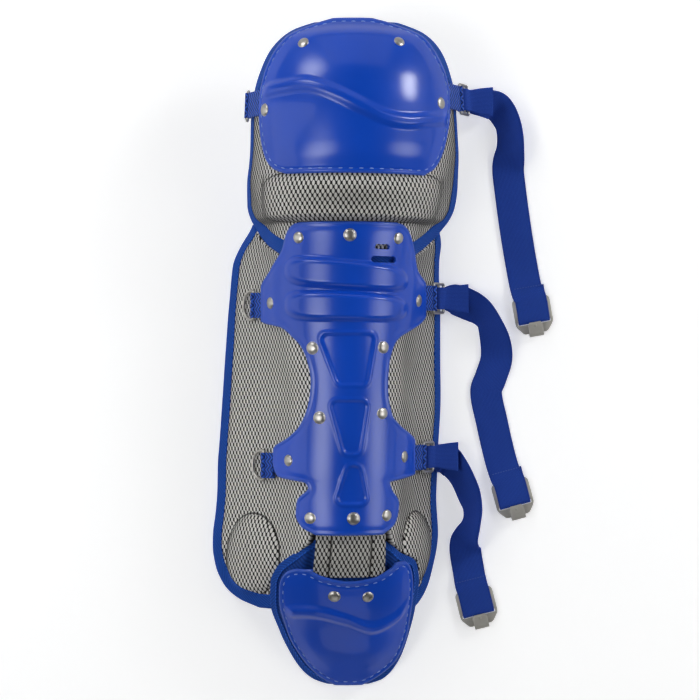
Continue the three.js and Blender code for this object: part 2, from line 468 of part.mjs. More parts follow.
// Rivets
// How far a shell's surface stands out over its form under a head of radius r.
function seatHeight(shell, a, r) {
  const ray = new THREE.Raycaster(), mesh = new THREE.Mesh(shell, new THREE.MeshBasicMaterial({ side: THREE.DoubleSide }));
  const across = a.n.clone().cross(a.u);
  return Math.max(...[[0, 0], [r, 0], [-r, 0], [0, r], [0, -r]].map(([i, j]) => {
    const from = a.p.clone().addScaledVector(a.u, i).addScaledVector(across, j).addScaledVector(a.n, 40);
    ray.set(from, a.n.clone().negate());
    const hit = ray.intersectObject(mesh)[0];
    return hit ? 40 - hit.distance : 0;
  }));
}
function rivet(name, form, y, s, shell, size = RIVET) {
  const r = size / 2, h = 0.3 * r;
  const profile = [[0, 0], [r, 0], [r * 0.96, h * 0.5], [r * 0.6, h * 1.25], [0, h * 1.6]].map(([x, z]) => new THREE.Vector2(x, z));
  const g = new THREE.LatheGeometry(profile, 8).rotateX(Math.PI / 2);
  const a = lift(form, s * G, y * L, 0);
  const base = a.p.clone().addScaledVector(a.n, seatHeight(shell, a, 0.8 * r) + 0.5 * GAP);
  place(add(name, g, STEEL), base, a.u, a.n.clone().cross(a.u), a.n);
}
const RIVETS = [
  ['knee_rivet_top_left', 0.440, -0.148, LEG, cap.geometry], ['knee_rivet_top_right', 0.441, 0.136, LEG, cap.geometry],
  ['knee_rivet_left', 0.352, -0.285, LEG, cap.geometry], ['knee_rivet_right', 0.361, 0.282, LEG, cap.geometry],
  ['shin_rivet_top_left', 0.165, -0.162, LEG, shin.geometry], ['shin_rivet_top_center', 0.168, -0.001, LEG, shin.geometry],
  ['shin_rivet_top_right', 0.165, 0.156, LEG, shin.geometry], ['shin_rivet_upper_ear_left', 0.070, -0.285, LEG, shin.geometry],
  ['shin_rivet_upper_ear_right', 0.074, 0.270, LEG, shin.geometry], ['shin_rivet_waist_left', 0.003, -0.118, LEG, shin.geometry],
  ['shin_rivet_waist_right', 0.004, 0.100, LEG, shin.geometry], ['shin_rivet_middle_left', -0.099, -0.100, LEG, shin.geometry],
  ['shin_rivet_middle_right', -0.093, 0.092, LEG, shin.geometry], ['shin_rivet_lower_ear_left', -0.163, -0.211, LEG, shin.geometry],
  ['shin_rivet_lower_ear_right', -0.158, 0.187, LEG, shin.geometry], ['shin_rivet_bottom_left', -0.246, -0.133, LEG, shin.geometry],
  ['shin_rivet_bottom_center', -0.246, -0.001, LEG, shin.geometry], ['shin_rivet_bottom_right', -0.243, 0.106, LEG, shin.geometry],
  ['foot_rivet_left', -0.362, -0.045, FOOT, toe.geometry], ['foot_rivet_right', -0.363, 0.060, FOOT, toe.geometry],
];
for (const [name, y, s, form, shell] of RIVETS) rivet(name, form, y, s, shell);

// Wire, webbing and straps
// A frame at a tab's bar: t points from the tab's root out to the bar, w along the bar, n away from the leg.
function station(form, y, root, rootH, bar, barH) {
  const a = lift(form, root * G, y * L, rootH), b = lift(form, bar * G, y * L, barH);
  const t = b.p.clone().sub(a.p), reach = t.length();
  t.normalize();
  const w = b.n.clone().cross(t).normalize();
  return { p: b.p, t, w, n: t.clone().cross(w), reach };
}
const shiftBy = (f, dt, dn = 0) => ({ ...f, p: f.p.clone().addScaledVector(f.t, dt).addScaledVector(f.n, dn) });

// A closed wire in the frame's plane through [t, w] corners, each already rounded.
function wireLoop(path, sides = 5) {
  const n = path.length;
  const rings = path.map(([t, w], k) => {
    const [t0, w0] = path[(k + n - 1) % n], [t1, w1] = path[(k + 1) % n];
    const a = new THREE.Vector2(t - t0, w - w0).normalize(), b = new THREE.Vector2(t1 - t, w1 - w).normalize();
    const out = new THREE.Vector2(a.y + b.y, -a.x - b.x).normalize();
    const miter = 1 / Math.max(0.6, out.dot(new THREE.Vector2(a.y, -a.x)));
    return Array.from({ length: sides }, (_, i) => {
      const q = 2 * Math.PI * (i + 0.5) / sides, c = Math.cos(q) * WIRE / 2 * miter, h = Math.sin(q) * WIRE / 2;
      return vec(t + out.x * c, w + out.y * c, h);
    });
  });
  return sweep(rings, true);
}
const fillet = (t, w, r, from, steps = 3) => Array.from({ length: steps + 1 }, (_, k) => {
  const q = (from + 90 * k / steps) * rad;
  return [t + r * Math.cos(q), w + r * Math.sin(q)];
});
const RING_W = WEB + 3.6, RING_D = 0.56 * RING_W, SLIDE_D = 17, SLIDE_W = WEB + 3.8;
// A D-ring: a straight bar at t = 0 and a round bow on the far side.
const dRing = () => {
  const w = RING_W / 2, bow = Array.from({ length: 9 }, (_, k) => {
    const q = (-90 + 180 * k / 8) * rad;
    return [3 + (RING_D - 3) * Math.cos(q), w * Math.sin(q)];
  });
  return wireLoop([...bow, [0, w], [0, -w]]);
};
// A slide: a rectangular loop with a centre bar.
const slide = () => {
  const w = SLIDE_W / 2, r = 1.4, d = SLIDE_D;
  const loop = wireLoop([...fillet(d - r, w - r, r, 0, 2), ...fillet(r, w - r, r, 90, 2), ...fillet(r, -w + r, r, 180, 2), ...fillet(d - r, -w + r, r, 270, 2)]);
  const bar = new THREE.CylinderGeometry(WIRE * 0.45, WIRE * 0.45, SLIDE_W, 6).translate(d / 2, 0, 0);
  return join(loop, bar);
};
// A webbing tab: a doubled strip with an eye round the bar at t = 0.
const tab = (reach) => {
  const inner = WIRE / 2 + GAP, outer = inner + WEB_T, half = WEB_T + 0.1, a = Math.asin(half / outer), shape = new THREE.Shape();
  shape.moveTo(-reach, -half);
  for (let k = 0; k <= 8; k++) {
    const q = -Math.PI + a + (2 * Math.PI - 2 * a) * k / 8;
    shape.lineTo(outer * Math.cos(q), outer * Math.sin(q));
  }
  shape.lineTo(-reach, half);
  const hole = new THREE.Path();
  hole.absarc(0, 0, inner, 0, 2 * Math.PI, true);
  shape.holes.push(hole);
  return new THREE.ExtrudeGeometry(shape, { depth: WEB, bevelEnabled: false, curveSegments: 4 })
    .translate(0, 0, -WEB / 2).rotateX(Math.PI / 2);
};
const seat = (mesh, f) => place(mesh, f.p, f.t, f.w, f.n);

// Each tab's place along Y, then the places across and the heights of its root and of its bar.
const TABS = {
  knee_left: station(LEG, 0.3645, -0.3150, 8.2, -0.405, 9), shin_left: station(LEG, 0.067, -0.3475, 3.6, -0.392, 4.2),
  ankle_left: station(LEG, -0.1725, -0.2915, 3.6, -0.338, 4.2), knee_right: station(LEG, 0.3755, 0.3310, 8.2, 0.420, 9.5),
  shin_right: station(LEG, 0.0785, 0.3325, 3.6, 0.384, 5.2), ankle_right: station(LEG, -0.1615, 0.2655, 3.6, 0.318, 5.2),
};
for (const [key, f] of Object.entries(TABS)) {
  seat(add(`${key}_tab`, tab(f.reach), WEB_BLUE), f);
  const down = vec(-0.12, 0, -1).projectOnPlane(f.w).normalize();
  const hangs = key === 'knee_left' ? { ...f, t: down, n: down.clone().cross(f.w) } : f;
  seat(add(`${key}_${key.endsWith('left') ? 'ring' : 'slide'}`, key.endsWith('left') ? dRing() : slide(), STEEL), hangs);
}

// A strap: from its folded tail round the slide's centre bar, along its run, and round the hook's bar.
const FOLD = WIRE * 0.45 + GAP + STRAP_T / 2, NOSE = PLATE_T / 2 + GAP + STRAP_T / 2;
const TAIL = 22, BACK = 24, LOOP_TOP = 23;
function strap(f, run, hook) {
  const bar = shiftBy(f, SLIDE_D / 2);
  const nodes = [];
  const push = (p, w, width) => nodes.push({ p, w, width });
  const round = (c, t, n, r, from, to, w, width) => {
    for (let k = 0; k <= 4; k++) {
      const q = mix(from, to, k / 4) * rad;
      push(c.clone().addScaledVector(t, r * Math.cos(q)).addScaledVector(n, r * Math.sin(q)), w, width);
    }
  };
  const tight = SLIDE_W - 2 * WIRE - 0.6;
  const flat = vec(f.t.x, f.t.y, 0).normalize(), past = shiftBy(f, SLIDE_D + 2, FOLD).p;
  push(past.clone().addScaledVector(flat, TAIL).setZ(past.z - 0.2 * TAIL), f.w, STRAP * 0.9);
  push(past.clone().addScaledVector(flat, 0.45 * TAIL).setZ(past.z - 0.15 * TAIL), f.w, mix(tight, STRAP * 0.9, 0.6));
  push(past, f.w, tight);
  push(shiftBy(f, SLIDE_D / 2 + 2.5, FOLD).p, f.w, tight);
  round(bar.p, f.t, f.n, FOLD, 90, 270, f.w, tight);
  push(shiftBy(f, SLIDE_D + 3, -FOLD).p, f.w, tight);
  const pts = run.map(([x, y, z]) => vec(x, y, z));
  run.forEach(([x, y, z, bank], k) => {
    const a = k ? pts[k - 1] : nodes[nodes.length - 1].p, b = k < run.length - 1 ? pts[k + 1] : hook.p;
    const h = vec(b.x - a.x, b.y - a.y, 0).normalize(), q = bank * rad;
    const w = vec(-h.y * Math.cos(q), h.x * Math.cos(q), Math.sin(q));
    const low = STRAP / 2 * Math.sin(q) + STRAP_T / 2 * Math.cos(q);
    push(vec(x, y, Math.max(z, low)), w, k ? STRAP : mix(tight, STRAP, 0.8));
  });
  push(hook.p.clone().addScaledVector(hook.t, -LOOP_TOP).addScaledVector(hook.n, NOSE), hook.w, STRAP);
  round(hook.p, hook.t, hook.n, NOSE, 90, -90, hook.w, STRAP);
  push(hook.p.clone().addScaledVector(hook.t, -BACK * 0.5).addScaledVector(hook.n, -NOSE), hook.w, STRAP);
  push(hook.p.clone().addScaledVector(hook.t, -BACK - 10).addScaledVector(hook.n, -NOSE), hook.w, STRAP);
  return sweep(nodes.map(({ p, w, width }, k) => {
    const a = nodes[Math.max(k - 1, 0)].p, b = nodes[Math.min(k + 1, nodes.length - 1)].p;
    const t = b.clone().sub(a).normalize();
    const n = t.clone().cross(w).normalize(), side = n.clone().cross(t).normalize();
    const c = (i, j) => p.clone().addScaledVector(side, i * width / 2).addScaledVector(n, j * STRAP_T / 2);
    return [c(-1, -1), c(1, -1), c(1, 1), c(-1, 1)];
  }), false);
}
// A hook: a pressed plate with a slot for the strap and a tongue folded over its face.
function hook() {
  const w = PLATE / 2, up = LOOP_TOP, down = 13, r = 5, shape = new THREE.Shape();
  // local X runs from the strap (-) to the hook's end (+), local Y across
  shape.moveTo(-up + r, -w);
  shape.lineTo(down * 0.3, -w);
  shape.lineTo(down, -w * 0.62);
  shape.lineTo(down, w * 0.62);
  shape.lineTo(down * 0.3, w);
  shape.lineTo(-up + r, w);
  shape.absarc(-up + r, w - r, r, Math.PI / 2, Math.PI, false);
  shape.absarc(-up + r, -w + r, r, Math.PI, 1.5 * Math.PI, false);
  const hole = new THREE.Path(), s = STRAP / 2 + 0.7;
  hole.moveTo(0, -s); hole.lineTo(0, s); hole.lineTo(NOSE + STRAP_T / 2 + 0.5, s); hole.lineTo(NOSE + STRAP_T / 2 + 0.5, -s); hole.closePath();
  shape.holes.push(hole);
  const plate = new THREE.ExtrudeGeometry(shape, { depth: PLATE_T, bevelEnabled: false, curveSegments: 2 }).translate(0, 0, -PLATE_T / 2);
  // the tongue's side view: up and back over the plate
  const side = new THREE.Shape(), rise = 3.6, c = PLATE_T / 2 + rise / 2;
  side.moveTo(down - 3, -PLATE_T / 2);
  side.absarc(down, c, c + PLATE_T / 2, -Math.PI / 2, Math.PI / 2, false);
  side.lineTo(down - 11, 2 * c + PLATE_T / 2 + 0.6);
  side.lineTo(down - 11, 2 * c - PLATE_T / 2 + 0.6);
  side.absarc(down, c, c - PLATE_T / 2, Math.PI / 2, -Math.PI / 2, true);
  side.lineTo(down - 3, PLATE_T / 2);
  side.closePath();
  const tongueStrip = new THREE.ExtrudeGeometry(side, { depth: PLATE * 0.38, bevelEnabled: false, curveSegments: 4 })
    .rotateX(Math.PI / 2).translate(0, PLATE * 0.19, 0);
  return join(plate, tongueStrip);
}
const hookAt = (x, y, tx, ty) => {
  const t = vec(tx, ty, 0).normalize(), n = vec(0, 0, 1);
  return { p: vec(x * G, y * L, NOSE + STRAP_T / 2), t, n, w: n.clone().cross(t) };
};
// Each run's rows: across, along, height, bank in degrees.
const RUNS = {
  knee: [hookAt(0.612, 0.046, 0.1745, -0.985), [[0.472, 0.374, 14, 20], [0.500, 0.366, 8, 34], [0.522, 0.347, 4, 42], [0.531, 0.325, 1, 40],
    [0.531, 0.303, 1, 32], [0.526, 0.280, 1, 6], [0.531, 0.255, 1, 0], [0.553, 0.180, 1, 0], [0.577, 0.115, 1, 0], [0.589, 0.0885, 4.6, 0]]],
  shin: [hookAt(0.548, -0.235, 0.26, -0.965), [[0.344, 0.078, 8, 2], [0.386, 0.071, 2.5, 14], [0.430, 0.060, 1, 34], [0.460, 0.043, 1, 45],
    [0.482, 0.014, 1, 25], [0.487, -0.014, 1, 6], [0.468, -0.043, 1, 0], [0.453, -0.064, 1, 0], [0.472, -0.110, 1, 0], [0.500, -0.166, 1, 0], [0.517, -0.192, 4.6, 0]]],
  ankle: [hookAt(0.427, -0.402, 0.243, -0.97), [[0.306, -0.165, 12, 4], [0.326, -0.169, 3, 18], [0.344, -0.177, 1, 32], [0.370, -0.195, 1, 42],
    [0.394, -0.221, 1, 46], [0.406, -0.243, 1, 58], [0.401, -0.266, 1, 60], [0.385, -0.288, 1, 40], [0.384, -0.308, 1, 6], [0.395, -0.340, 1, 0], [0.402, -0.360, 4.6, 0]]],
};
for (const [key, [end, rows]] of Object.entries(RUNS)) {
  add(`${key}_strap`, strap(TABS[`${key}_right`], rows.map(([x, y, z, bank]) => [x * G, y * L, z, bank]), end), STRAP_BLUE);
  seat(add(`${key}_hook`, hook(), HOOK_GREY), end);
}

const box = new THREE.Box3().setFromObject(group);
group.position.set(-(box.min.x + box.max.x) / 2, -(box.min.y + box.max.y) / 2, -box.min.z);

export default group;
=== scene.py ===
"""A baseball catcher's leg guard lying on its back, front up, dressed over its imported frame.

Every piece is a surface worked out over one of two soft forms, the leg's and the foot's. A place on a
form is s, the distance across from its crest, and y, the distance along the leg, both in millimetres.
"""
import math

import bpy
import numpy as np
from bpy.props import FloatProperty, FloatVectorProperty, PointerProperty
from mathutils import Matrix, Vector


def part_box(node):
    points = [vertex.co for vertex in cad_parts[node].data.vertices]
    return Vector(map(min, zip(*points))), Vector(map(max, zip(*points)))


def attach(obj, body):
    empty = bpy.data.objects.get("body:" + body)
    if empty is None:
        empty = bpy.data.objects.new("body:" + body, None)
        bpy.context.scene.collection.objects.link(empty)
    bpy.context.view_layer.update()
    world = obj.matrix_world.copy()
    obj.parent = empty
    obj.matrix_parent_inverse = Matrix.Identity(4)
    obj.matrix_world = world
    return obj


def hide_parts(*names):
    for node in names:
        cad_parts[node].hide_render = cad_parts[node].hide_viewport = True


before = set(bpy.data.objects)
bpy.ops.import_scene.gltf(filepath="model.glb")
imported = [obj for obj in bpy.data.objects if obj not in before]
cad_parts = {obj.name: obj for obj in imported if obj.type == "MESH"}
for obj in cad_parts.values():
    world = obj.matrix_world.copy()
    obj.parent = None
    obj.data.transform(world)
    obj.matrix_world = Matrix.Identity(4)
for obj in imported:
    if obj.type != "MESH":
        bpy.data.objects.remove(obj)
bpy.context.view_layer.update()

bl_info = {
    "name": "Catcher's Leg Guard",
    "version": (1, 0, 0),
    "blender": (4, 5, 0),
    "location": "View3D > Sidebar > Leg Guard",
    "description": "Dresses a catcher's leg guard: moulded shells, bound mesh pads, straps, rings and hooks",
    "category": "Object",
}

# Driving sizes, in millimetres
LENGTH, GIRTH, CREST = 650.0, 300.0, 118.0
# how thick the padded layers are, the shells and their edges, the webbing, straps, wire and plate
LINER, KNEE_PAD, FOOT_PAD, TONGUE = 13.0, 14.0, 8.0, 5.0
SHELL, FLANGE, PILLOW, BINDING, GAP = 3.6, 6.0, 4.5, 7.0, 0.3
WEB, WEB_T, STRAP, STRAP_T, WIRE, RIVET, PLATE, PLATE_T = 24.6, 1.5, 31.8, 2.0, 3.0, 11.0, 38.0, 1.6
RING_W, SLIDE_D, SLIDE_W = WEB + 3.6, 17.0, WEB + 3.8
RING_D = 0.56 * RING_W
NOSE = PLATE_T / 2 + GAP + STRAP_T / 2
FLARE = 0.15 * GIRTH                            # the stretch over which a flank takes its last slope
STITCH_IN = 3.4                                 # a shell's row of stitches, in from its edge
SHIFT = np.array((-34.2709, 7.6806, 0.5520))    # from the forms' origin to the frame's


# Small maths
def smooth(t):
    c = np.clip(t, 0, 1)
    return c * c * (3 - 2 * c)


def mix(a, b, t):
    return a + (b - a) * t


def band(d, half, edge):
    """1 within half of a line, falling smoothly to 0 over edge."""
    return 1 - smooth((np.abs(d) - half) / edge)


def unit(v):
    return v / np.maximum(np.linalg.norm(v, axis=-1, keepdims=True), 1e-12)


def run_of(path):
    """The distance along a path at each of its points."""
    return np.concatenate([[0], np.cumsum(np.linalg.norm(np.diff(path, axis=0), axis=-1))])


def curve(rows, free=False):
    """Cubic pieces through rows of (at, values...), held flat past both ends; monotone unless free."""
    a = np.array(sorted(rows), float)
    x, v = a[:, 0], a[:, 1:]
    h = np.diff(x)[:, None]
    d = np.diff(v, axis=0) / h
    m = np.zeros_like(v)
    m[0], m[-1] = d[0], d[-1]
    if free:
        m[1:-1] = (v[2:] - v[:-2]) / (x[2:] - x[:-2])[:, None]
    else:
        turn = d[1:] * d[:-1]
        total = np.where(np.abs(d[1:] + d[:-1]) < 1e-12, 1, d[1:] + d[:-1])
        m[1:-1] = np.where(turn > 0, 2 * turn / total, 0)

    def at(q):
        q = np.clip(np.asarray(q, float), x[0], x[-1])
        i = np.clip(np.searchsorted(x, q, side="right") - 1, 0, len(x) - 2)
        t = ((q - x[i]) / h[i, 0])[..., None]
        t2, t3 = t * t, t ** 3
        return ((2 * t3 - 3 * t2 + 1) * v[i] + (t3 - 2 * t2 + t) * h[i] * m[i]
                + (3 * t2 - 2 * t3) * v[i + 1] + (t3 - t2) * h[i] * m[i + 1])
    return at


def line(rows, units=(LENGTH, GIRTH), free=False):
    """A one-valued curve whose rows are shares: of the length, then of the girth."""
    f = curve([(a * units[0], b * units[1]) for a, b in rows], free)
    return lambda q: f(q)[..., 0]


def line2(rows):
    return line(rows, (GIRTH, LENGTH))


def form_of(rows):
    """A form's columns: along, shift, crest, radius, roll, turnR, flankR, turnL, flankL."""
    units = (LENGTH, GIRTH, CREST, GIRTH, 1, 1, 1, 1, 1)
    return curve([[value * size for value, size in zip(row, units)] for row in rows])


LEG = form_of([
    (0.520, 0.010, 0.470, 0.333, 0, 66, 66, 66, 62), (0.471, 0.010, 0.710, 0.333, 0, 66, 66, 66, 62),
    (0.438, 0.010, 0.856, 0.333, 0, 66, 66, 66, 62), (0.391, 0.010, 0.966, 0.333, 0, 68, 66, 68, 62),
    (0.348, 0.010, 1.000, 0.333, 0, 68, 66, 68, 62), (0.305, 0.010, 0.992, 0.333, 0, 68, 64, 68, 62),
    (0.262, 0.007, 0.949, 0.327, 1, 67, 60, 69, 60), (0.218, 0.003, 0.898, 0.300, 2, 65, 56, 68, 58),
    (0.182, 0.000, 0.873, 0.267, 3, 65, 56, 66, 55), (0.131, 0.000, 0.856, 0.253, 5, 67, 59, 60, 49),
    (0.072, 0.000, 0.847, 0.247, 6, 65, 56, 58, 47), (0.000, 0.003, 0.839, 0.227, 7, 63, 54, 55, 44),
    (-0.072, 0.007, 0.839, 0.220, 7, 63, 54, 53, 42), (-0.162, 0.007, 0.839, 0.220, 8, 64, 55, 52, 41),
    (-0.220, 0.010, 0.830, 0.213, 9, 64, 55, 51, 40), (-0.278, 0.010, 0.826, 0.207, 9, 63, 53, 50, 38),
    (-0.330, 0.010, 0.768, 0.207, 9, 63, 52, 48, 35.5), (-0.380, 0.010, 0.670, 0.207, 9, 62, 50, 44, 31)])
FOOT = form_of([
    (-0.240, 0.010, 0.815, 0.207, 9, 55, 52, 40, 36), (-0.274, 0.008, 0.810, 0.213, 8, 52, 48, 34, 32),
    (-0.300, 0.005, 0.783, 0.240, 7, 46, 42, 30, 28), (-0.325, 0.000, 0.724, 0.280, 6, 40, 38, 28, 26),
    (-0.352, -0.003, 0.655, 0.300, 5, 38, 38, 25, 25), (-0.380, -0.007, 0.582, 0.293, 4, 36, 38, 25, 27),
    (-0.415, -0.008, 0.452, 0.267, 3, 34, 36, 30, 34), (-0.450, -0.008, 0.328, 0.240, 2, 31, 33, 29, 31),
    (-0.485, -0.008, 0.180, 0.220, 1, 25, 25, 25, 25), (-0.520, -0.008, 0.060, 0.200, 0, 18, 18, 18, 18)])


def arc(angle, bend, d):
    """How far across and up a point gets after d along an arc that starts at angle and turns by bend."""
    flat = np.abs(bend) < 1e-9
    b = np.where(flat, 1, bend)
    end = angle + b * d
    return (np.where(flat, d * np.cos(angle), (np.sin(end) - np.sin(angle)) / b),
            np.where(flat, -d * np.sin(angle), (np.cos(end) - np.cos(angle)) / b))


def on_form(form, s, y):
    """The form's point: a round crest, then a flank that flares from its turn angle to its last one."""
    s, y = np.broadcast_arrays(np.asarray(s, float), np.asarray(y, float))
    shift, crest, radius, roll, turn_r, flank_r, turn_l, flank_l = np.moveaxis(form(y), -1, 0)
    side = np.where(s >= 0, 1.0, -1.0)
    first = side * np.radians(roll)
    turn = np.radians(np.where(s >= 0, turn_r, turn_l))
    flank = np.radians(np.where(s >= 0, flank_r, flank_l))
    a, bow = np.abs(s), radius * (turn - first)
    x1, z1 = arc(first, 1 / radius, np.minimum(a, bow))
    x2, z2 = arc(turn, (flank - turn) / FLARE, np.clip(a - bow, 0, FLARE))
    rest = np.maximum(a - bow - FLARE, 0)
    x = x1 + x2 + rest * np.cos(flank)
    return np.stack([shift + side * x, y, crest + z1 + z2 - rest * np.sin(flank)], -1)


def lift(form, s, y, h=0.0):
    """The point h above the form, with its normal and the directions across and along."""
    e = 0.5
    du = on_form(form, s + e, y) - on_form(form, s - e, y)
    dv = on_form(form, s, y + e) - on_form(form, s, y - e)
    n = unit(np.cross(du, dv))
    return on_form(form, s, y) + n * np.asarray(h, float)[..., None], n, unit(du), unit(dv)


# Meshes
def to_row(p):
    """Millimetres over the forms to metres in the frame."""
    return (np.asarray(p) + SHIFT) * 1e-3


def cells(rows, cols, start=0, wrap_rows=False, wrap_cols=False):
    """Quads of a grid of rows by cols points."""
    j = np.arange(rows if wrap_rows else rows - 1)[:, None]
    i = np.arange(cols if wrap_cols else cols - 1)[None, :]
    j2, i2 = (j + 1) % rows, (i + 1) % cols
    quads = np.stack([j * cols + i, j2 * cols + i, j2 * cols + i2, j * cols + i2], -1)
    return (quads + start).reshape(-1, 4)


def volume(points, quads):
    """Six times what closed quads hold; below 0 where they face inwards."""
    a, b, c, d = (points[quads[:, k]] for k in range(4))
    return np.sum(a * np.cross(b, c)) + np.sum(a * np.cross(c, d))


def piece(name, points, quads, finish, nodes=(), slot=None, uv=None, fans=(), marks=None):
    """A mesh object; its slot is not used. fans are extra many-sided faces; marks are point values."""
    name = f"{name}_finished" if nodes else name
    faces = [tuple(f) for f in np.asarray(quads).tolist()] + [tuple(f) for f in fans]
    p = to_row(points)
    if volume(p, np.asarray(quads)) < 0:
        faces = [f[::-1] for f in faces]
    mesh = bpy.data.meshes.new(name)
    mesh.from_pydata(p.tolist(), [], faces)
    if uv is not None:
        corner = np.empty(len(mesh.loops), np.int32)
        mesh.loops.foreach_get("vertex_index", corner)
        layer = mesh.uv_layers.new(name="cut")
        layer.data.foreach_set("uv", (np.asarray(uv)[corner] * 1e-3).astype(np.float32).ravel())
    for key, values in (marks or {}).items():
        mark = mesh.attributes.new(key, "FLOAT", "POINT")
        mark.data.foreach_set("value", np.asarray(values, np.float32).ravel())
    mesh.polygons.foreach_set("use_smooth", np.ones(len(mesh.polygons), bool))
    mesh.update()
    obj = bpy.data.objects.new(name, mesh)
    bpy.context.scene.collection.objects.link(obj)
    mesh.materials.append(finish)
    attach(obj, "root")
    if nodes:
        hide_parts(*nodes)
    return obj


def lattice(lines, across, bars, along):
    """Places (s, y) of a patch: lines give s for y, bars give y for the share across."""
    us = np.concatenate([[0.0]] + [k + np.arange(1, n + 1) / n for k, n in enumerate(across)])
    vs = np.concatenate([[0.0]] + [k + np.arange(1, n + 1) / n for k, n in enumerate(along)])
    v, u = np.meshgrid(vs, us, indexing="ij")
    share = u / len(across)
    rows = np.stack([bar(share) + 0 * share for bar in bars])
    k = np.minimum(v.astype(int), len(along) - 1)
    pick = lambda stack, index: np.take_along_axis(stack, index[None], 0)[0]
    y = mix(pick(rows, k), pick(rows, k + 1), v - k)
    cols = np.stack([one(y) + 0 * y for one in lines])
    k = np.minimum(u.astype(int), len(across) - 1)
    return mix(pick(cols, k), pick(cols, k + 1), u - k), y


def border(shape):
    """Indexes of a grid's border, once round, the knee side first."""
    rows, cols = shape
    i, j = np.arange(cols), np.arange(rows)
    return np.concatenate([i[:-1], j[:-1] * cols + cols - 1, (rows - 1) * cols + i[:0:-1], j[:0:-1] * cols])


def outward(s, y):
    """Unit directions out of a closed line of places that runs clockwise, and how far a corner reaches."""
    ds, dy = s - np.roll(s, 1), y - np.roll(y, 1)
    n = np.maximum(np.hypot(ds, dy), 1e-9)
    ds, dy = ds / n, dy / n
    ts, ty = ds + np.roll(ds, -1), dy + np.roll(dy, -1)
    n = np.maximum(np.hypot(ts, ty), 1e-9)
    os, oy = -ty / n, ts / n
    return os, oy, 1 / np.maximum(0.5, os * -dy + oy * ds)


def slab(form, s, y, over, under, lip=0.0, turns=4):
    """A closed slab: its top grid, its bottom grid and a half-round rim between them."""
    rim = border(s.shape)
    n = s.size
    points = [lift(form, s, y, over)[0].reshape(-1, 3), lift(form, s, y, under)[0].reshape(-1, 3)]
    uv = [np.stack([s, y], -1).reshape(-1, 2)] * 2
    bs, by, bo, bu = s.ravel()[rim], y.ravel()[rim], over.ravel()[rim], under.ravel()[rim]
    os, oy, _ = outward(bs, by)
    rings = [rim]
    for k in range(1, turns):
        q = math.pi * k / turns
        h = (bo + bu) / 2 + (bo - bu) / 2 * math.cos(q)
        ps, py = bs + os * lip * math.sin(q), by + oy * lip * math.sin(q)
        points.append(lift(form, ps, py, h)[0])
        uv.append(np.stack([ps, py], -1))
        rings.append(2 * n + (k - 1) * len(rim) + np.arange(len(rim)))
    rings.append(n + rim)
    rows, cols = s.shape
    faces = [cells(rows, cols), cells(rows, cols, n)[:, ::-1]]
    for a, b in zip(rings, rings[1:]):
        faces.append(np.stack([a, np.roll(a, -1), np.roll(b, -1), b], -1))
    return np.concatenate(points), np.concatenate(faces), np.concatenate(uv)


def on_slab(top, underside, count, rim):
    """A mark for a slab's count of points: values over its two faces, and one value round its rim."""
    return np.concatenate([top.ravel(), underside.ravel(), np.full(count - 2 * top.size, rim)])


def rim_distance(s, y, os, oy):
    """Each place's distance to the nearest stretch of a closed outline."""
    out = np.empty(s.size)
    p = np.stack([s.ravel(), y.ravel()], -1)
    a = np.stack([os, oy], -1)
    d = np.roll(a, -1, 0) - a
    dd = np.maximum((d * d).sum(-1), 1e-12)
    for k in range(0, len(p), 4000):
        r = p[k:k + 4000, None] - a[None]
        t = np.clip((r * d).sum(-1) / dd, 0, 1)[..., None]
        out[k:k + 4000] = np.sqrt((((r - t * d) ** 2).sum(-1)).min(1))
    return out.reshape(s.shape)


def inside(s, y, poly):
    """1 where a place lies in a polygon, by counting the sides that a ray crosses."""
    hit = np.zeros(s.shape, bool)
    for (s0, y0), (s1, y1) in zip(poly, poly[1:] + poly[:1]):
        if y0 != y1:
            hit ^= ((y0 > y) != (y1 > y)) & (s < (s1 - s0) * (y - y0) / (y1 - y0) + s0)
    return hit


def bead(form, s, y, over, under, width, swell, lap, top):
    """A bound edge: a flattened half-round carried round a layer's rim, lapping in over its top by lap."""
    os, oy, reach = outward(s, y)
    mid, half = (over + under) / 2, (over - under) / 2 + swell
    q = np.radians(np.linspace(90, -90, 13))
    bow = np.sign(np.sin(q)) * np.abs(np.sin(q)) ** 0.9
    laps = -lap[:, None] * (1, 1.02, 0.85, 0.6, 0.3)
    n = laps.shape[1]
    nose = np.append(width * np.cos(q) ** 0.75, -1.0)
    out = np.concatenate([laps, np.broadcast_to(nose, (len(s), len(nose)))], -1)
    ps = s[:, None] + os[:, None] * out * reach[:, None]
    py = y[:, None] + oy[:, None] * out * reach[:, None]
    h = mid[:, None] + half[:, None] * np.concatenate([np.zeros(n), bow, [-0.8]])
    h[:, :n] = top(ps[:, :n], py[:, :n]) + np.array((-1.2, 0.5, 0.95, 1.05, 1.0))
    h[:, n] = np.maximum(h[:, n], h[:, n - 1] - 0.3)
    p = lift(form, ps, py, h)[0]
    uv = np.stack(np.broadcast_arrays(run_of(p[:, 7])[:, None], run_of(p[0])[None]), -1)
    return p.reshape(-1, 3), cells(*out.shape, wrap_rows=True, wrap_cols=True), uv.reshape(-1, 2)


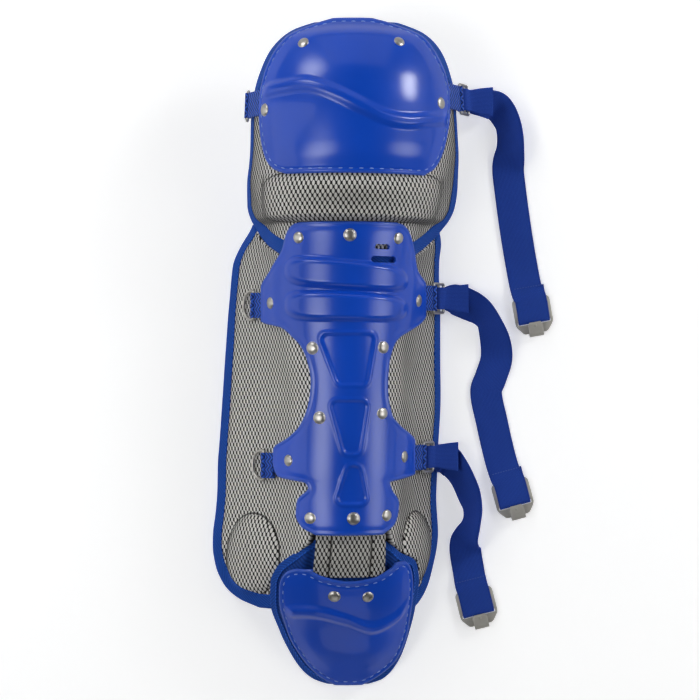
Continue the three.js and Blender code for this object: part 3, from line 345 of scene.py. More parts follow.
def carry(path, wide, widths, thick, round_edge=0.35, sides=5, closed=False):
    """A flat strip carried along a path: a rounded rectangle, `wide` across, square to the path."""
    t = np.roll(path, -1, 0) - np.roll(path, 1, 0)
    if not closed:
        t[0], t[-1] = path[1] - path[0], path[-1] - path[-2]
    t = unit(t)
    n = unit(np.cross(t, wide))
    side = np.cross(n, t)
    r = thick * round_edge
    q = np.radians(np.linspace(0, 90, 4))
    ring = []
    w = np.asarray(widths, float) + 0 * path[:, 0]
    flat = np.linspace(-1, 1, sides + 2)[1:-1]
    for cx, cz, start in ((1, 1, 0), (-1, 1, 90), (-1, -1, 180), (1, -1, 270)):
        for a in q + math.radians(start):
            ring.append((cx * (w / 2 - r) + r * math.cos(a), 0 * w + cz * (thick / 2 - r) + r * math.sin(a)))
        if start == 0 or start == 180:
            for f in (-flat if start == 0 else flat):
                ring.append((f * (w / 2 - r), 0 * w + cz * thick / 2))
    across = np.stack([a for a, _ in ring], 1)
    up = np.stack([b for _, b in ring], 1)
    p = path[:, None] + side[:, None] * across[..., None] + n[:, None] * up[..., None]
    uv = np.stack([run_of(path)[:, None] + 0 * across, across], -1)
    m, k = len(path), len(ring)
    fans = [] if closed else [tuple(range(k)), tuple(range(m * k - 1, (m - 1) * k - 1, -1))]
    return p.reshape(-1, 3), cells(m, k, wrap_rows=closed, wrap_cols=True), uv.reshape(-1, 2), fans


def wire(path, radius, up, sides=12):
    """A round wire carried round a closed path that lies flat across `up`."""
    t = unit(np.roll(path, -1, 0) - np.roll(path, 1, 0))
    side = unit(np.cross(t, up))
    q = np.radians(np.arange(sides) * 360 / sides)[None, :, None]
    p = path[:, None] + radius * (side[:, None] * np.cos(q) + np.asarray(up) * np.sin(q))
    return p.reshape(-1, 3), cells(len(path), sides, wrap_rows=True, wrap_cols=True)


def resample(path, pitch, closed=True):
    """Places spaced evenly along a path, about a pitch apart."""
    p = np.concatenate([path, path[:1]]) if closed else path
    d = run_of(p)
    count = max(2, int(round(d[-1] / pitch)))
    at = np.linspace(0, d[-1], count + (0 if closed else 1), endpoint=not closed)
    return np.stack([np.interp(at, d, p[:, k]) for k in range(p.shape[1])], -1)


def beads(places, along, up, size):
    """Stitches: one small rounded grain at each place, `size` long, wide and high."""
    rows, cols = 5, 8
    v = np.linspace(0, math.pi, rows)[:, None]
    u = np.linspace(0, 2 * math.pi, cols, endpoint=False)[None]
    grain = np.stack([np.cos(v) + 0 * u, np.sin(v) * np.cos(u), np.sin(v) * np.sin(u)], -1)
    grain = grain.reshape(1, -1, 3) * np.asarray(size) / 2
    n = unit(up)
    t = unit(along - n * np.sum(along * n, -1, keepdims=True))
    w = np.cross(n, t)
    t, w, n = t[:, None], w[:, None], n[:, None]
    p = places[:, None] + grain[..., :1] * t + grain[..., 1:2] * w + grain[..., 2:] * n
    one = cells(rows, cols, wrap_cols=True)
    faces = one[None] + (np.arange(len(places)) * rows * cols)[:, None, None]
    return p.reshape(-1, 3), faces.reshape(-1, 4)


# Finishes
def math_node(operation, first=True):
    """A method that adds a Math node on its value and any others; its value comes first, or last."""
    def method(self, *others):
        args = [self, *others] if first else [*others, self]
        return self.maker.value("ShaderNodeMath", {"operation": operation}, dict(enumerate(args)))
    return method


class Value:
    """A shader socket that takes part in sums; an expression on values adds its Math nodes."""

    def __init__(self, maker, socket):
        self.maker, self.socket = maker, socket

    __add__ = __radd__ = math_node("ADD")
    __sub__ = math_node("SUBTRACT")
    __rsub__ = math_node("SUBTRACT", False)
    __mul__ = __rmul__ = math_node("MULTIPLY")
    __truediv__ = math_node("DIVIDE")
    __rtruediv__ = math_node("DIVIDE", False)
    low = math_node("MINIMUM")
    high = math_node("MAXIMUM")
    part = math_node("FRACT")
    whole = math_node("FLOOR")
    size = math_node("ABSOLUTE")
    root = math_node("SQRT")
    wave = math_node("SINE")

    def clamp(self):
        return self.high(0.0).low(1.0)

    def step(self, low, high):
        """Rises smoothly from 0 at low to 1 at high; falls where low is the larger."""
        sockets = {0: self, 1: min(low, high), 2: max(low, high), 3: float(low > high), 4: float(low < high)}
        return self.maker.value("ShaderNodeMapRange", {"interpolation_type": "SMOOTHSTEP"}, sockets)


class Finish:
    """One material, built up node by node and closed by surface()."""

    def __init__(self, name):
        self.material = bpy.data.materials.new(name)
        self.material.use_nodes = True
        self.tree = self.material.node_tree
        self.tree.nodes.clear()

    def node(self, kind, settings=None, sockets=None):
        """A node of a type; its settings are set first, then its sockets' values or links."""
        node = self.tree.nodes.new(kind)
        for key, value in (settings or {}).items():
            setattr(node, key, value)
        for key, value in (sockets or {}).items():
            if isinstance(value, Value):
                self.tree.links.new(value.socket, node.inputs[key])
            elif isinstance(value, (tuple, list)) and len(value) == 3 and node.inputs[key].type == "RGBA":
                node.inputs[key].default_value = (*value, 1.0)
            else:
                node.inputs[key].default_value = value
        return node

    def value(self, kind, settings=None, sockets=None, output=0):
        """What a new node gives."""
        return Value(self, self.node(kind, settings, sockets).outputs[output])

    def flat(self, where):
        """The first two parts of a place."""
        xyz = self.node("ShaderNodeSeparateXYZ", None, {0: where})
        return Value(self, xyz.outputs[0]), Value(self, xyz.outputs[1])

    def cut(self):
        """The piece's own flat places, in metres: along it or across it."""
        return self.flat(self.value("ShaderNodeUVMap", {"uv_map": "cut"}))

    def place(self):
        return self.value("ShaderNodeTexCoord", output="Object")

    def mark(self, key):
        return self.value("ShaderNodeAttribute", {"attribute_name": key}, output="Fac")

    def noise(self, scale, detail=3.0, rough=0.55, stretch=None):
        where = self.place()
        if stretch:
            where = self.value("ShaderNodeVectorMath", {"operation": "MULTIPLY"}, {0: where, 1: stretch})
        sockets = {"Vector": where, "Scale": scale, "Detail": detail, "Roughness": rough}
        return self.value("ShaderNodeTexNoise", None, sockets, "Fac")

    def blend(self, share, a, b):
        """A colour between a and b."""
        return self.value("ShaderNodeMix", {"data_type": "RGBA"}, {0: share, 6: a, 7: b}, 2)

    def relief(self, height, distance, strength):
        """A bump over a height."""
        sockets = {"Height": height, "Distance": distance, "Strength": strength}
        return self.value("ShaderNodeBump", None, sockets)

    def surface(self, sockets):
        shader = self.node("ShaderNodeBsdfPrincipled", None, sockets)
        end = self.node("ShaderNodeOutputMaterial")
        self.tree.links.new(shader.outputs[0], end.inputs[0])
        return self.material


def linear(hexa):
    """A colour written as in a drawing program, to the shader's linear values."""
    values = [int(hexa[k:k + 2], 16) / 255 for k in (0, 2, 4)]
    return tuple(v / 12.92 if v <= 0.04045 else ((v + 0.055) / 1.055) ** 2.4 for v in values)


def shaded(colour, factor):
    return tuple(min(1.0, c * factor) for c in colour)


def shell_plastic(blue):
    """Glossy moulded plastic: a faint orange peel, fine handling scratches and a paler rim, partly rubbed
    wear and partly a painted highlight along the rolled edge.
    """
    f = Finish("moulded_shell")
    edge = f.mark("edge")
    cloud, peel = f.noise(9.0, 2.0), f.noise(260.0, 1.0)
    scratch = f.noise(90.0, 2.0, 0.6, (1.0, 9.0, 3.0)).step(0.62, 0.72)
    rim_wear_and_highlight = edge.step(2.2, 0.2) * (f.noise(120.0, 3.0).step(0.35, 0.65) * 0.5 + 0.5)
    base = f.blend(cloud.step(0.35, 0.65), shaded(blue, 0.94), shaded(blue, 1.08))
    # partly painted highlight: the paler blue within about 2 mm of the edge is rubbed wear and also stands in
    # for the light along the rolled rim
    base = f.blend(rim_wear_and_highlight * 0.45, base, linear("3f63b8"))
    return f.surface({
        "Base Color": base,
        "Roughness": 0.36 + 0.05 * cloud + 0.08 * scratch + 0.15 * rim_wear_and_highlight, "Specular IOR Level": 0.31,
        "Coat Weight": 0.66, "Coat Roughness": 0.13, "Coat IOR": 1.5,
        "Normal": f.relief(peel, 0.00005, 0.3)})


def knit_mesh(cream, dark):
    """Spacer mesh: staggered columns of upright cream loops over a near-black ground, with painted shade on
    the yarn at the loops' edges, on slanting faces and where the shade mark is set.
    """
    f = Finish("knit_mesh")
    u, v = f.cut()
    wide, high = 0.0044, 0.0078
    sewn = f.mark("sewn").size().step(0.07, 0.02)
    wobble = f.noise(160.0, 2.0) - 0.5
    a, b = u / wide + wobble * 0.10, v / high + wobble * 0.06

    def loop(da, db):
        x, y = ((a + da).part() - 0.5) * 2.0, ((b + db).part() - 0.5) * 2.0
        lean = x + y * 0.10
        lean, y = lean / 0.59, y / 0.65
        return 1.0 - (lean * lean + y * y)
    field = loop(0.0, 0.0).high(loop(0.5, 0.5))
    yarn = field.step(-0.05, 0.22)
    strand = ((u * (2 * math.pi / 0.0011)).wave() * 0.5 + 0.5)
    fuzz = f.noise(900.0, 2.0)
    light = f.blend(fuzz.step(0.3, 0.7), shaded(cream, 0.88), cream)
    # painted shade: the yarn darkens towards each loop's rounded edge
    light = f.blend(field.step(0.5, 0.05) * 0.30, light, shaded(cream, 0.40))
    # painted shade: the yarn darkens where the surface slants away from the camera, so the wings that face
    # aside look darker
    slant = f.value("ShaderNodeLayerWeight", None, {"Blend": 0.5}, "Facing")
    light = f.blend((slant * slant * 2.0).clamp(), light, shaded(cream, 0.20))
    ground = f.blend(strand * 0.6 + fuzz * 0.4, dark, shaded(dark, 2.2))
    base = f.blend((yarn * (1.0 - 0.45 * f.mark("shade")) * (1.0 - 0.85 * sewn)).clamp(), ground, light)
    return f.surface({
        "Base Color": base, "Roughness": 0.95 - 0.15 * yarn, "Specular IOR Level": 0.18,
        "Sheen Weight": 0.10, "Sheen Roughness": 0.5,
        "Normal": f.relief(field.clamp().root() * 0.85 + strand * 0.15 - sewn, 0.0006, 0.6)})


def woven(name, blue, pitch, relief, sheen=0.25, ribs=False, seam=None):
    """Woven cloth on its own cut: a twill, or ribs across for elastic, with an optional row of stitches."""
    f = Finish(name)
    u, v = f.cut()
    cloud, fuzz = f.noise(22.0, 3.0), f.noise(1400.0, 2.0)
    tau = 2 * math.pi
    if ribs:
        warp = (v * (tau / pitch)).wave() * 0.5 + 0.5
        weft = (u * (tau / (pitch * 0.72)) + (v / pitch).whole() * math.pi).wave() * 0.5 + 0.5
        thread = warp * 0.45 + weft * 0.55
        selvage = v.size().step(0.0139, 0.0149)
        thread = thread * (1.0 - selvage * 0.6)
    else:
        check = ((u + v) * (tau / pitch)).wave() * ((u - v) * (tau / pitch)).wave() * 0.5 + 0.5
        thread = check * 0.25 + (((u + v * 1.3) * (tau / (3.0 * pitch))).wave() * 0.5 + 0.5) * 0.75
        selvage = 0.0
    base = f.blend(thread * 0.75 + fuzz * 0.25, shaded(blue, 0.42), shaded(blue, 1.60))
    base = f.blend(cloud.step(0.3, 0.7) * 0.35, base, shaded(blue, 0.78))
    if seam:
        at, length = seam
        dash = (u / length).part().step(0.18, 0.28) * (u / length).part().step(0.86, 0.76)
        stitch = (v - at).size().step(0.0006, 0.0003) * dash
        base = f.blend(stitch, base, shaded(blue, 2.0))
        thread = thread * 0.5 + stitch * 1.5
    return f.surface({
        "Base Color": base, "Roughness": 0.86 - 0.10 * thread, "Specular IOR Level": 0.22,
        "Sheen Weight": sheen, "Sheen Roughness": 0.45, "Sheen Tint": (*shaded(blue, 2.2), 1.0),
        "Normal": f.relief(thread + fuzz * 0.3 + selvage * 0.8, relief, 0.75)})


def herringbone(blue):
    """Webbing: slanting ribs that turn back on themselves at each column."""
    f = Finish("herringbone_webbing")
    u, v = f.cut()
    column, pitch = 0.0080, 0.0042
    turn = ((v / column).part() - 0.5).size() * 2.0
    rib = ((u / pitch + turn) * (2 * math.pi)).wave() * 0.5 + 0.5
    crest = rib.step(0.15, 0.75)
    fuzz = f.noise(1200.0, 2.0)
    base = f.blend(crest * 0.85 + fuzz * 0.15, shaded(blue, 0.20), shaded(blue, 1.45))
    return f.surface({
        "Base Color": base, "Roughness": 0.85 - 0.15 * crest, "Specular IOR Level": 0.3,
        "Sheen Weight": 0.2, "Sheen Roughness": 0.4, "Normal": f.relief(rib + fuzz * 0.2, 0.0007, 0.8)})


def bright_metal(name, colour, rough, brushed=0.0, metal=1.0):
    """Plated or pressed metal: faint brushing, fine pits and dulled patches."""
    f = Finish(name)
    cloud, grain = f.noise(60.0, 3.0), f.noise(700.0, 2.0, 0.6, (1.0, 6.0, 1.0) if brushed else None)
    base = f.blend(cloud.step(0.3, 0.75), colour, shaded(colour, 0.86))
    return f.surface({
        "Base Color": base, "Metallic": metal, "Roughness": rough + 0.08 * cloud + 0.05 * grain,
        "Normal": f.relief(grain, 0.00001 + 0.00008 * brushed, 0.3)})


def thread(name, colour):
    """Waxed sewing thread: two plies that turn round each other."""
    f = Finish(name)
    ply = f.noise(1500.0, 1.0, 0.5, (1.0, 1.0, 2.5))
    return f.surface({"Base Color": f.blend(ply, shaded(colour, 0.65), shaded(colour, 1.2)),
                      "Roughness": 0.55 + 0.1 * ply, "Normal": f.relief(ply, 0.0002, 0.6)})


def studio_floor():
    """Matt pale board."""
    f = Finish("studio_floor")
    mirrored = f.value("ShaderNodeLightPath", output="Is Glossy Ray")
    base = f.blend(f.noise(3.0, 2.0), (0.86, 0.865, 0.87), (0.88, 0.88, 0.88))
    return f.surface({
        "Base Color": f.blend(mirrored * 0.4, base, (0.2, 0.2, 0.2)), "Roughness": 0.95,
        "Specular IOR Level": 0.1, "Emission Color": (1.0, 1.0, 1.0),
        "Emission Strength": 0.46 - 0.30 * mirrored})


def soft_light(name, wide, high, level, round_off):
    """A softbox's cloth: even, or brightest in its middle and fading out to its rim."""
    f = Finish(name)
    if round_off:
        x, y = f.flat(f.place())
        x, y = x / (wide / 2), y / (high / 2)
        fade = (1.0 - (x * x + y * y)).clamp()
        level = fade * fade * level
    return f.surface({"Base Color": (0.0, 0.0, 0.0), "Specular IOR Level": 0.0,
                      "Emission Color": (1.0, 1.0, 1.0), "Emission Strength": level})


# The leg's layers
def at_y(share):
    return lambda u: share * LENGTH + 0 * u


def at_s(share):
    return lambda y: share * GIRTH + 0 * y


LINER_TOP, LOBE, LINER_EDGE = 0.236 * LENGTH, -0.380 * LENGTH, 0.5 * LINER
SUNK, ANKLE_SUNK = 9.8, 14.0    # how far the liner drops under the knee pad and under the foot pad


def floor_edge(y, side, h):
    """How far across a wing's bound edge just touches the floor, by halving."""
    lo, hi = 0.1 * GIRTH + 0 * y, 0.9 * GIRTH + 0 * y
    for _ in range(30):
        m = (lo + hi) / 2
        clear = lift(LEG, side * (m + BINDING * 0.7), y, h)[0][..., 2] > 0
        lo, hi = np.where(clear, m, lo), np.where(clear, hi, m)
    return side * lo


def liner_line(side):
    """A wing's edge: on the floor, rounded in at the ankle lobe and at the knee."""
    taper = curve([(LOBE, 0.70 if side < 0 else 0.88), (LOBE + 0.012 * LENGTH, 0.85 if side < 0 else 0.94),
                   (LOBE + 0.030 * LENGTH, 0.94 if side < 0 else 0.975), (LOBE + 0.055 * LENGTH, 0.99),
                   (LOBE + 0.085 * LENGTH, 1), (0.125 * LENGTH, 1),
                   (0.150 * LENGTH, 0.985 if side < 0 else 0.970),
                   (0.172 * LENGTH, 0.955 if side < 0 else 0.925),
                   (0.195 * LENGTH, 0.91 if side < 0 else 0.88), (LINER_TOP, 0.86)])
    y = np.linspace(LOBE, LINER_TOP, 25)
    edge = floor_edge(y, side, -LINER_EDGE - 0.4 - 9.6 * smooth((y / LENGTH - 0.154) / 0.036))
    floor = curve(list(zip(y, edge)))
    return lambda q: floor(q)[..., 0] * taper(q)[..., 0]


liner_l, liner_r = liner_line(-1), liner_line(1)
knee_cover = line2([(-0.51, 0.202), (-0.465, 0.190), (-0.425, 0.176), (-0.36, 0.155), (-0.30, 0.144),
                    (-0.24, 0.135), (-0.14, 0.122), (0, 0.118), (0.14, 0.122), (0.25, 0.134),
                    (0.36, 0.152), (0.435, 0.174), (0.475, 0.190), (0.51, 0.202)])
foot_cover = line2([(-0.30, -0.330), (-0.257, -0.322), (-0.240, -0.314), (-0.190, -0.295),
                    (-0.152, -0.281), (-0.130, -0.258), (0, -0.252), (0.130, -0.258), (0.152, -0.280),
                    (0.188, -0.294), (0.240, -0.306), (0.265, -0.311), (0.30, -0.318)])
liner_end = line2([(-0.42, -0.380), (-0.34, -0.376), (-0.29, -0.362), (-0.25, -0.344), (-0.19, -0.322),
                   (-0.13, -0.302), (-0.06, -0.281), (0, -0.275), (0.06, -0.281), (0.13, -0.302),
                   (0.19, -0.318), (0.25, -0.338), (0.29, -0.358), (0.34, -0.374), (0.42, -0.380)])
ANKLE_BULGES = ((-0.395, -0.310, 0.115, 0.064), (0.300, -0.298, 0.088, 0.055))


def ankle_bulge(s, y):
    """Two rounded ankle cushions, and how near their sewn outlines are."""
    t = [1 - ((s / GIRTH - cs) / rs) ** 2 - ((y / LENGTH - cy) / ry) ** 2 for cs, cy, rs, ry in ANKLE_BULGES]
    return np.maximum(*[np.maximum(0, k) ** 0.6 for k in t]), np.clip(np.maximum(*t), -1, 1)


def liner_share(u):
    """The place across for a share of the liner's width: its middle third is half the girth wide."""
    return GIRTH * np.interp(u, (0, 1 / 3, 2 / 3, 1), (-0.52, -0.25, 0.25, 0.46))


def liner_heights(s, y):
    """The liner's upper and under faces: sunk under other layers, puckered and bulging elsewhere."""
    inset = np.minimum.reduce([s - liner_l(y), liner_r(y) - s, LINER_TOP - y, y - liner_end(s)])
    knee = smooth((y - knee_cover(s) - 0.002 * LENGTH) / (0.006 * LENGTH))
    foot = smooth((foot_cover(s) - 0.002 * LENGTH - y) / (0.006 * LENGTH))
    foot = foot * (1 - smooth((np.abs(s) - 0.270 * GIRTH) / (0.022 * GIRTH)))
    rim = 1 - smooth(inset / 14)
    bulge, seam = ankle_bulge(s, y)
    free = (1 - knee) * (1 - foot) * (1 - rim)
    over = -SUNK * knee - ANKLE_SUNK * foot - 1.5 * rim * (1 - np.maximum(knee, foot))
    over = over + 7 * bulge * (1 - rim) * (1 - foot)
    over = over - free * (1 - smooth(np.abs(seam) / 0.22)) * (np.abs(s) > 0.2 * GIRTH)
    pucker = 0.5 * np.sin(s / 23 + 1.3 * np.sin(y / 41)) * np.sin(y / 29 + 0.8)
    over = over + free * (pucker + 0.25 * np.sin(y / 11 + s / 17))
    under = np.minimum(-mix(LINER_EDGE, LINER, smooth(inset / 26)), over - 4)
    return over, under


knee_l = line([(0.476, -0.125), (0.466, -0.205), (0.441, -0.290), (0.412, -0.350), (0.383, -0.400),
               (0.346, -0.428), (0.308, -0.434), (0.279, -0.442), (0.250, -0.458), (0.221, -0.462),
               (0.194, -0.425), (0.172, -0.360), (0.150, -0.240), (0.136, -0.140)])
knee_r = line([(0.476, 0.145), (0.463, 0.245), (0.440, 0.325), (0.410, 0.388), (0.381, 0.430),
               (0.347, 0.444), (0.309, 0.458), (0.274, 0.470), (0.244, 0.476), (0.217, 0.470),
               (0.192, 0.435), (0.168, 0.360), (0.148, 0.250), (0.136, 0.140)])
KNEE_TOP = 0.476 * LENGTH
BOLSTER, BOLSTER_TOP, BOLSTER_END = 0.2245, 0.262, 0.184    # its middle, and where its pad's rows change


def bolster_place(s, y):
    """A place as shares of the bolster's half height and half width, from its middle."""
    return (y / LENGTH - BOLSTER) / 0.0365, (s / GIRTH - 0.012) / 0.33


def bolster(s, y):
    """A cushion across the pad just below the knee cap."""
    dy, ds = bolster_place(s, y)
    return np.sqrt(np.maximum(0, 1 - dy * dy)) * np.sqrt(np.maximum(0, 1 - ds ** 8))


def knee_over(s, y):
    inset = np.minimum.reduce([s - knee_l(y), knee_r(y) - s, KNEE_TOP - y])
    above = smooth((y / LENGTH - BOLSTER_END) / 0.018)
    return -0.2 + above * (2.2 + 4 * smooth(inset / 18)) + 7 * bolster(s, y)


cap_l = line([(0.482, -0.060), (0.475, -0.112), (0.461, -0.180), (0.447, -0.222), (0.429, -0.258),
              (0.402, -0.292), (0.374, -0.312), (0.346, -0.315), (0.312, -0.306), (0.285, -0.284),
              (0.268, -0.246), (0.261, -0.203)])
cap_r = line([(0.482, 0.057), (0.475, 0.115), (0.461, 0.190), (0.447, 0.236), (0.426, 0.277),
              (0.403, 0.310), (0.378, 0.329), (0.351, 0.330), (0.317, 0.315), (0.291, 0.292),
              (0.272, 0.264), (0.261, 0.224)])
CAP_TOP, CAP_END = 0.482 * LENGTH, 0.261 * LENGTH
cap_ridge = line([(0, 0.378), (0.165, 0.381), (0.276, 0.382), (0.389, 0.371), (0.514, 0.353),
                  (0.626, 0.337), (0.738, 0.332), (0.849, 0.336), (1, 0.341)], (1, LENGTH), True)


def sewn_edge(d):
    """A faint bead near a shell's edge and the groove that its stitches lie in, d from the edge."""
    return 0.25 * band(d - 0.9, 0.4, 0.7) - 0.3 * band(d - STITCH_IN, 0.5, 0.9)


def cap_over(s, y, d):
    """The knee cap: a sewn edge, then the dome, with an S-shaped ridge across it."""
    u = np.clip((s - cap_l(y)) / (cap_r(y) - cap_l(y)), 0, 1)
    return (knee_over(s, y) + 1.2 + SHELL + 0.6 + 1.0 * smooth((d - 2) / 16) + sewn_edge(d)
            + 2.8 * band(y - cap_ridge(u), 0.002 * LENGTH, 0.012 * LENGTH) * smooth(d / 14))


shin_l = line([(0.186, -0.158), (0.1845, -0.176), (0.181, -0.190), (0.174, -0.204), (0.164, -0.214),
               (0.148, -0.226), (0.119, -0.285), (0.093, -0.345), (0.044, -0.345), (0.035, -0.234),
               (0.022, -0.191), (0.008, -0.158), (-0.014, -0.135), (-0.044, -0.124), (-0.066, -0.128),
               (-0.088, -0.139), (-0.115, -0.170), (-0.131, -0.215), (-0.148, -0.287), (-0.167, -0.288),
               (-0.186, -0.268), (-0.193, -0.148), (-0.202, -0.136), (-0.223, -0.179), (-0.243, -0.183),
               (-0.258, -0.164), (-0.269, -0.115)])
shin_r = line([(0.186, 0.150), (0.1845, 0.168), (0.181, 0.184), (0.174, 0.200), (0.162, 0.216),
               (0.150, 0.229), (0.120, 0.254), (0.098, 0.326), (0.052, 0.330), (0.042, 0.300),
               (0.029, 0.215), (0.021, 0.172), (0.008, 0.142), (-0.022, 0.119), (-0.059, 0.112),
               (-0.096, 0.128), (-0.114, 0.170), (-0.136, 0.258), (-0.184, 0.262), (-0.193, 0.118),
               (-0.206, 0.126), (-0.226, 0.158), (-0.241, 0.154), (-0.255, 0.140), (-0.269, 0.095)])
panel_l = line([(0.186, -0.098), (0.029, -0.100), (-0.055, -0.059), (-0.069, -0.074), (-0.156, -0.041),
                (-0.166, -0.036), (-0.192, -0.040), (-0.229, -0.056), (-0.269, -0.062)])
panel_r = line([(0.186, 0.083), (0.029, 0.082), (-0.055, 0.057), (-0.069, 0.053), (-0.156, 0.034),
                (-0.166, 0.041), (-0.192, 0.039), (-0.229, 0.044), (-0.269, 0.047)])
SHIN_TOP, SHIN_END = 0.186 * LENGTH, -0.269 * LENGTH
RIBS = (((0.142, 0.125), (0.0925, 0.0825)), ((0.091, 0.082), (0.042, 0.040)))
PANELS = (((-0.100, 0.029), (0.082, 0.029), (0.057, -0.055), (-0.059, -0.055)),
          ((-0.074, -0.069), (0.053, -0.069), (0.034, -0.156), (-0.041, -0.156)),
          ((-0.030, -0.164), (0.034, -0.164), (0.046, -0.229), (-0.058, -0.229)))


def slanted(ends, s):
    return mix(ends[0], ends[1], np.clip(s / (0.36 * GIRTH) + 0.5, 0, 1)) * LENGTH


def pillow(s, y):
    """Two cushion-shaped ribs across the top of the shin: flat crowns, rounded shoulders and ends."""
    out = 0 * y
    for tops, ends in RIBS:
        top, end = slanted(tops, s), slanted(ends, s)
        t = np.minimum(np.abs((top + end - 2 * y) / (top - end)), 1.5)
        across = np.minimum(np.abs(s + 0.008 * GIRTH) / (0.212 * GIRTH), 1.5)
        out = np.maximum(out, smooth((1 - t ** 2.6 - across ** 5) / 0.80))
    return out


def panel_relief(s, y):
    """Three sunk panels with rounded corners, each in a soft raised frame."""
    out = 0 * y
    r = 9.0                                     # the corners' radius
    for corners in PANELS:
        ps, py = np.array(corners).T * ((GIRTH,), (LENGTH,))
        cs, cy = ps.mean(), py.mean()
        ps = cs + (ps - cs) * (1 - r / np.abs(ps - cs))
        py = cy + (py - cy) * (1 - r / np.abs(py - cy))
        d = rim_distance(s, y, ps, py)
        d = np.where(inside(s, y, list(zip(ps, py))), -d, d) - r
        out = out + 0.9 * band(d + 1.8, 0.7, 1.7) - 0.9 * smooth((-d - 2.9) / 2.2)
    return out


def shin_under(s, y):
    return 1.3 + 0.6 * smooth((np.abs(s) - 0.2 * GIRTH) / (0.07 * GIRTH)) + 0 * y


def shin_over(s, y, d):
    """The shin shell: a rolled lip, the plate, its two pillow ribs and its three panels."""
    inner = smooth((d - 3) / 5)
    return (shin_under(s, y) + SHELL + 0.1 + 0.5 * smooth((d - 1.5) / 7) + 0.4 * band(d - 0.9, 0.5, 0.8)
            + PILLOW * 1.1 * pillow(s, y) * inner + panel_relief(s, y) * inner)


foot_l = line([(-0.278, -0.060), (-0.290, -0.135), (-0.309, -0.190), (-0.330, -0.240), (-0.349, -0.255),
               (-0.395, -0.254), (-0.427, -0.232), (-0.459, -0.196), (-0.485, -0.155), (-0.500, -0.112),
               (-0.506, -0.070)])
foot_r = line([(-0.278, 0.060), (-0.290, 0.130), (-0.309, 0.180), (-0.322, 0.240), (-0.348, 0.250),
               (-0.396, 0.236), (-0.428, 0.216), (-0.460, 0.188), (-0.485, 0.152), (-0.500, 0.115),
               (-0.506, 0.072)])
FOOT_TOP, FOOT_END = -0.278 * LENGTH, -0.506 * LENGTH


def foot_heights(s, y):
    inset = np.minimum.reduce([s - foot_l(y), foot_r(y) - s, FOOT_TOP - y, y - FOOT_END])
    under_tongue = 1 - smooth((np.abs(s) - 0.130 * GIRTH) / (0.03 * GIRTH))
    under_tongue = under_tongue * smooth((y + 0.343 * LENGTH) / (0.005 * LENGTH))
    over = -0.5 - (TONGUE + 0.4) * under_tongue - 1.5 * (1 - smooth(inset / 12))
    return over, np.minimum(-mix(0.6 * FOOT_PAD, FOOT_PAD, smooth(inset / 14)), over - 3)


toe_l = line([(-0.324, -0.172), (-0.3265, -0.194), (-0.3315, -0.212), (-0.340, -0.224), (-0.352, -0.229),
              (-0.375, -0.227), (-0.427, -0.201), (-0.467, -0.150), (-0.488, -0.108), (-0.500, -0.072),
              (-0.508, -0.040)])
toe_r = line([(-0.3155, 0.193), (-0.319, 0.205), (-0.327, 0.216), (-0.342, 0.223), (-0.367, 0.226),
              (-0.418, 0.214), (-0.467, 0.171), (-0.488, 0.122), (-0.500, 0.082), (-0.508, 0.045)])
toe_top = line([(0, -0.3243), (0.07, -0.3238), (0.16, -0.3275), (0.30, -0.3355), (0.5, -0.3420),
                (0.70, -0.3370), (0.85, -0.3235), (0.94, -0.3163), (1, -0.3153)], (1, LENGTH))
toe_ridge = line([(0, -0.389), (0.27, -0.386), (0.48, -0.397), (0.67, -0.412), (0.85, -0.399),
                  (1, -0.372)], (1, LENGTH), True)
TOE_END = -0.508 * LENGTH


def toe_over(s, y, d):
    """The foot shell: a stitched flange, the plate and its S-shaped ridge."""
    u = np.clip((s - toe_l(y)) / (toe_r(y) - toe_l(y)), 0, 1)
    return (0.5 + SHELL - 0.2 + 0.8 * smooth((d - 2) / 14) + sewn_edge(d)
            + 2.6 * band(y - toe_ridge(u), 0.002 * LENGTH, 0.011 * LENGTH) * smooth((d - 3) / 12))


def moulded(name, form, s, y, over, under):
    """A moulded shell: a slab whose outline's distance is kept as a mark, for the paler rim of rubbed wear
    and painted highlight.
    """
    rim = border(s.shape)
    outline = s.ravel()[rim], y.ravel()[rim]
    d = rim_distance(s, y, *outline)
    p, faces, uv = slab(form, s, y, over(s, y, d), under(s, y), 1.4, 6)
    edge = {"edge": on_slab(d, d, len(p), 0.0)}
    return piece(name, p, faces, finish("shell"), [name], "shell", uv, marks=edge), outline


def sew(name, form, outline, over, pitch):
    """A row of stitches set in from an outline, seated on the surface."""
    path = resample(np.stack(outline, -1), 2.0)
    for _ in range(3):
        path = (np.roll(path, 1, 0) + 2 * path + np.roll(path, -1, 0)) / 4
    os, oy, _ = outward(path[:, 0], path[:, 1])
    s, y = resample(path - np.stack([os, oy], -1) * STITCH_IN, pitch).T
    p, n, _, _ = lift(form, s, y, over(s, y, 0 * s + STITCH_IN) + 0.1)
    points, faces = beads(p, np.roll(p, -1, 0) - np.roll(p, 1, 0), n, (4.4, 1.1, 0.9))
    return piece(name, points, faces, finish("blue_thread"), slot="binding")


# Frames for the webbing, rings, slides and hooks
def station(form, y, root, root_h, bar, bar_h):
    """A tab's frame at its bar: t away from the root, w along the bar, n up."""
    a = lift(form, root * GIRTH, y * LENGTH, root_h)[0]
    b, bn, _, _ = lift(form, bar * GIRTH, y * LENGTH, bar_h)
    t = unit(b - a)
    w = unit(np.cross(bn, t))
    return {"p": b, "t": t, "w": w, "n": np.cross(t, w), "reach": float(np.linalg.norm(b - a))}


